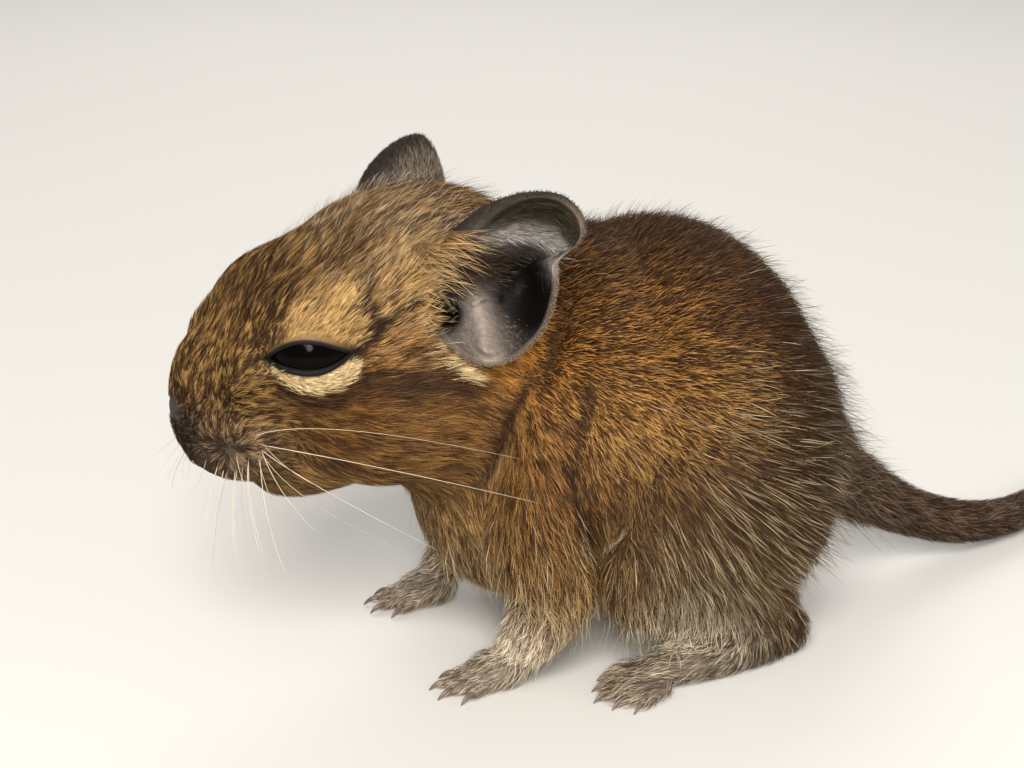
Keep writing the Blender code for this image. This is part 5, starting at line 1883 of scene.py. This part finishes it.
def ear_fringe(side):
    """Long pale hairs from the cheek over the front of the ear's opening."""
    count = int(300 * AMOUNT)
    y = rng.uniform(-1.9, 4.9, count)
    y = np.where((y < 0.8) & (rng.random(count) < 0.5), rng.uniform(1.0, 4.6, count), y)
    front = EAR_EDGE[(EAR_EDGE[:, 0] < 0.6) & (EAR_EDGE[:, 1] < 6.6)]
    order = np.argsort(front[:, 1])
    behind = rng.uniform(0.0, 1.0, count)
    x = np.interp(y, front[order, 1], front[order, 0]) - 0.1 - 1.6 * behind * (y < 3.4)
    z = np.interp(y, front[order, 1], front[order, 2]) + 0.05
    z = np.maximum(z, np.interp(y, (-2, -1, 0, 1, 2, 3, 4), (-0.5, -0.6, -0.7, -0.9, -1.2, -2.0, -4.1)))
    q = np.stack((x, y, z), 1)
    n = np.tile(np.array((-0.25, 0.0, 1.0)), (count, 1))
    way = np.array((1.0, 0.10, 0.0)) + rng.normal(0, 1.0, (count, 3)) * np.array((0.0, 0.20, 0.06))
    long = (1.1 + 3.4 * rng.random(count) ** 1.6) * (0.55 + 0.45 * smoothstep(y, -1.9, 0.5))
    points = free_blades(q, unit(n), way, long, rng.uniform(0.2, 0.55, count), np.full(count, 0.030), LONG, 0.10)
    world = through(EARS[side], points.reshape(-1, 3)).reshape(points.shape)
    tint = blade_colours(
        LONG, np.tile(srgb(140, 106, 64), (count, 1)), np.tile(srgb(208, 174, 122), (count, 1)),
        np.full(count, 0.06), np.arange(count), 0.0,
    )
    roots = through(EARS[side], q)
    return world, tint, unwrap_at(roots)


note("head coat")
head_sets = [
    grow(int(128000 * AMOUNT), head_share * (1 + 0.6 * muzzle_share), SHORT, 0.052, 7, 0.58, 0.10, together=0.74),
    ear_fringe(-1),
    ear_fringe(1),
]
note("body coat")
body_sets = [
    grow(
        int(124000 * AMOUNT), body_share * hidden, LONG, 0.060, 3, 0.35, 0.14,
        banding=0.8, together=0.45, stray=0.20,
    ),
    grow(
        int(98000 * AMOUNT), body_share * hidden, SHORT, 0.075, 3, 0.30, 0.14, 0.66, 0.62, 0.85,
        banding=0.8, together=0.45, stray=0.20,
    ),
]
note("tail and feet")
small_sets = [
    grow(int(13000 * AMOUNT), tail_share, SHORT, 0.07, 4, 0.4, 0.10),
    grow(int(12000 * AMOUNT), foot_share * (1 - head_share), SHORT, 0.055, 4, 0.3, 0.08),
]
add_coat("coat_head", head_sets)
add_coat("coat_body", body_sets)
add_coat("coat_limbs", small_sets)
add_coat("coat_ears", ear_hairs(-1) + ear_hairs(1))
note(f"{totals}")


# ---------------------------------------------------------------- long guard hairs
def plain(low, high, share=0.0):
    def recolour(roots, *_):
        count = len(roots)
        return np.tile(low, (count, 1)), np.tile(high, (count, 1)), np.full(count, share)

    return recolour


low_side = (1 - smoothstep(tri_middle[:, 2], 13.0, 19.0)) * (tri_middle[:, 2] > 4) * (tri_middle[:, 0] < 20)
rear = smoothstep(tri_middle[:, 0], 12.0, 20.0) * (tri_middle[:, 2] > 7)
haunch = np.exp(-((b_middle - np.array((10.5, 13.0, 16.0))) ** 2).sum(1) / 30.0)
top = smoothstep(tri_middle[:, 2], 24.0, 30.0)
guard_sets = [
    grow(
        int(2000 * AMOUNT), body_share * low_side * hidden, LONG, 0.042, 2, 0.0, 0.08, 1.0, 1.35,
        recolour=plain(srgb(98, 82, 56), srgb(184, 166, 130)), lift_power=1.3, follow=0.6, long=(3.6, 6.4),
    ),
    grow(
        int(650 * AMOUNT), body_share * haunch, LONG, 0.042, 2, 0.0, 0.06, 1.0, 1.2,
        recolour=plain(srgb(108, 92, 66), srgb(196, 178, 144)), lift_power=1.3, follow=0.7, long=(4.0, 7.0),
    ),
    grow(
        int(3400 * AMOUNT), body_share * rear, LONG, 0.038, 2, 0.0, 0.12, 1.5, 1.7,
        recolour=plain(srgb(52, 42, 32), srgb(118, 104, 86), 0.5), lift_power=1.2, follow=0.4,
    ),
    grow(
        int(2600 * AMOUNT), body_share * top, LONG, 0.036, 2, 0.0, 0.12, 1.15, 1.5,
        recolour=plain(srgb(46, 36, 27), srgb(92, 77, 61), 0.45), lift_power=1.3, follow=0.5,
    ),
    grow(
        int(1500 * AMOUNT), head_share * smoothstep(-h_middle[:, 0], -1.0, 6.0) * top, LONG, 0.03, 2, 0.0, 0.12, 1.1, 1.7,
        recolour=plain(srgb(90, 74, 56), srgb(190, 176, 152), 0.2), lift_power=1.3, follow=0.6,
    ),
]
add_coat("coat_guard", guard_sets)


# ---------------------------------------------------------------- whiskers
# root in the head's frame; then steps backwards and down as seen from the front quarter,
# to the middle and to the end, and how far it comes out towards the viewer
WHISKERS = (
    ((8.5, 3.0, -5.6), (-0.5, 1.8), (-1.4, 3.2), 1.2),
    ((8.3, 3.6, -6.4), (-0.5, 2.3), (-0.73, 4.4), 1.3),
    ((8.0, 3.9, -6.7), (-0.5, 3.0), (-0.59, 5.9), 1.5),
    ((7.8, 4.1, -6.9), (-0.7, 3.8), (-0.79, 7.8), 2.0),
    ((7.4, 4.4, -7.0), (-0.1, 3.1), (0.13, 6.0), 1.7),
    ((7.2, 4.5, -6.9), (-0.1, 3.3), (0.33, 6.5), 1.9),
    ((6.8, 4.8, -6.8), (0.1, 3.1), (0.73, 5.9), 1.8),
    ((6.4, 4.9, -6.7), (0.4, 3.6), (1.4, 6.9), 2.2),
    ((6.2, 5.0, -6.3), (0.4, 3.5), (1.4, 6.6), 2.4),
    ((5.6, 5.2, -6.5), (1.2, 3.2), (3.0, 5.9), 2.4),
    ((5.4, 5.3, -6.6), (0.7, 4.2), (2.1, 8.1), 2.5),
    ((5.2, 5.3, -6.1), (1.7, 3.0), (4.0, 5.5), 2.3),
    ((5.0, 5.3, -5.6), (2.0, 1.8), (4.2, 3.0), 2.0),
    ((5.6, 5.3, -5.5), (9.1, 1.65), (19.0, 3.8), 3.0),
    ((5.3, 5.3, -6.1), (4.1, 2.5), (12.0, 6.6), 3.0),
    ((5.3, 5.3, -6.4), (3.4, 3.2), (9.8, 6.5), 3.0),
    ((5.7, 5.3, -5.0), (6.4, -0.6), (18.0, 1.25), 3.4),
    ((6.9, 4.9, -5.7), (0.8, 2.2), (2.6, 4.4), 2.6),
)
BACKWARDS, DOWN, OUTWARDS = (np.array(v) for v in ((-0.871, 0.375, -0.317), (0.442, 0.317, -0.839), (0.214, 0.871, 0.442)))
whisker_parts, whisker_tint = [], []
for side in (-1, 1):
    for number, (start, half, end, out) in enumerate(WHISKERS):
        hit = skin_bvh.find_nearest(through(HEAD, (np.array(start) * np.array((1, -side, 1)))[None])[0].tolist())
        root = through(HEAD_INV, np.array(hit[0])[None])[0] * np.array((1, -side, 1))
        if side > 0:  # the hidden side's differ a little
            half, end = (tuple(v + 0.12 * abs(w) * math.sin(5 * number + v) for v in w2) for w, w2 in ((half[1], half), (end[1], end)))
        a = BACKWARDS * half[0] + DOWN * half[1] + OUTWARDS * out * 0.62
        b = BACKWARDS * end[0] + DOWN * end[1] + OUTWARDS * out
        t = np.linspace(0, 1, 15)[:, None]
        path = root + (4 * a - b) * t + (2 * b - 4 * a) * t**2
        path = path * np.array((1, -side, 1))
        world = through(HEAD, path)
        world[:, 2] = np.maximum(world[:, 2], 0.08)
        t = t[:, 0]
        thin = 0.75 if number in (0, 16, 17) else 1.0
        radii = thin * (0.023 * (1 - t) ** 0.7 + 0.006)
        whisker_parts.append(tube_arrays(world, radii, 5))
        colour = srgb(226, 214, 188) * (0.82 if number % 3 else 0.55)
        root_tone = 0.45 + 0.55 * smoothstep(t, 0.0, 0.12)
        whisker_tint.append(np.repeat(colour[None] * root_tone[:, None], 5, axis=0))
pts, loops, counts = join_arrays(whisker_parts)
mesh = array_mesh("whiskers", to_metres(pts), loops, counts)
shade_smooth(mesh)
colour_points(mesh, np.concatenate(whisker_tint))
whiskers = link(mesh, "whiskers", coat_mat)
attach(whiskers, "root")
note("whiskers")


# ================================================================ floor, light, camera
floor_mat, tree, shader = new_material("floor")
where = node(tree, "ShaderNodeTexCoord")
noise = node(tree, "ShaderNodeTexNoise")
noise.inputs["Scale"].default_value = 6.0
ramp = node(tree, "ShaderNodeValToRGB")
ramp.color_ramp.elements[0].color = (0.66, 0.65, 0.63, 1)
ramp.color_ramp.elements[1].color = (0.70, 0.69, 0.67, 1)
tree.links.new(where.outputs["Object"], noise.inputs["Vector"])
tree.links.new(noise.outputs["Fac"], ramp.inputs["Fac"])
tree.links.new(ramp.outputs["Color"], shader.inputs["Base Color"])
shader.inputs["Roughness"].default_value = 0.9
bm = bmesh.new()
bmesh.ops.create_grid(bm, x_segments=1, y_segments=1, size=1.6)
floor = link(mesh_of(bm, "floor"), "floor", floor_mat)

world = bpy.data.worlds.new("studio")
world.use_nodes = True
world.node_tree.nodes["Background"].inputs[0].default_value = (0.95, 0.925, 0.875, 1)
world.node_tree.nodes["Background"].inputs[1].default_value = 0.42
bpy.context.scene.world = world


def area_light(name, place, target, size, power, colour=(1, 1, 1)):
    lamp = bpy.data.lights.new(name, "AREA")
    lamp.shape = "DISK"
    lamp.size = size
    lamp.energy = power
    lamp.color = colour
    obj = bpy.data.objects.new(name, lamp)
    bpy.context.scene.collection.objects.link(obj)
    obj.location = place
    way = Vector(target) - Vector(place)
    obj.rotation_mode = "QUATERNION"
    obj.rotation_quaternion = way.to_track_quat("-Z", "Y")
    return obj


middle = (-0.016, -0.004, 0.018)


def around(azimuth, elevation, distance):
    a, e = math.radians(azimuth), math.radians(elevation)
    return tuple(
        m + distance * w
        for m, w in zip(middle, (math.sin(a) * math.cos(e), -math.cos(a) * math.cos(e), math.sin(e)))
    )


area_light("key", around(-28, 42, 0.40), middle, 0.20, 1.75, (1.0, 0.95, 0.88))
area_light("fill", around(48, 22, 0.40), middle, 0.24, 0.14, (0.96, 0.97, 1.0))
area_light("rim", around(160, 42, 0.38), middle, 0.24, 0.50, (1.0, 0.98, 0.95))
area_light("front", around(-20, 24, 0.50), middle, 0.14, 1.2, (1.0, 0.97, 0.92))
azimuth, elevation, lens, scale = math.radians(-22.0), math.radians(20.0), 75.0, 13.9
back = Vector((math.sin(azimuth) * math.cos(elevation), -math.cos(azimuth) * math.cos(elevation), math.sin(elevation)))
look = Vector(to_metres(np.array((0.0, 0.0, 19.7))))
cam = bpy.data.cameras.new("camera")
cam.lens = lens
cam.sensor_width = 36.0
cam.clip_start = 0.005
cam.clip_end = 20.0
camera = bpy.data.objects.new("camera", cam)
bpy.context.scene.collection.objects.link(camera)
camera.location = look + back * (1024 * lens / 36.0 / scale * MM)
camera.rotation_mode = "QUATERNION"
camera.rotation_quaternion = (-back).to_track_quat("-Z", "Y")
bpy.context.scene.camera = camera
bpy.context.scene.view_settings.view_transform = "Standard"
bpy.context.scene.view_settings.look = "None"

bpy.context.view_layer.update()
note("done")
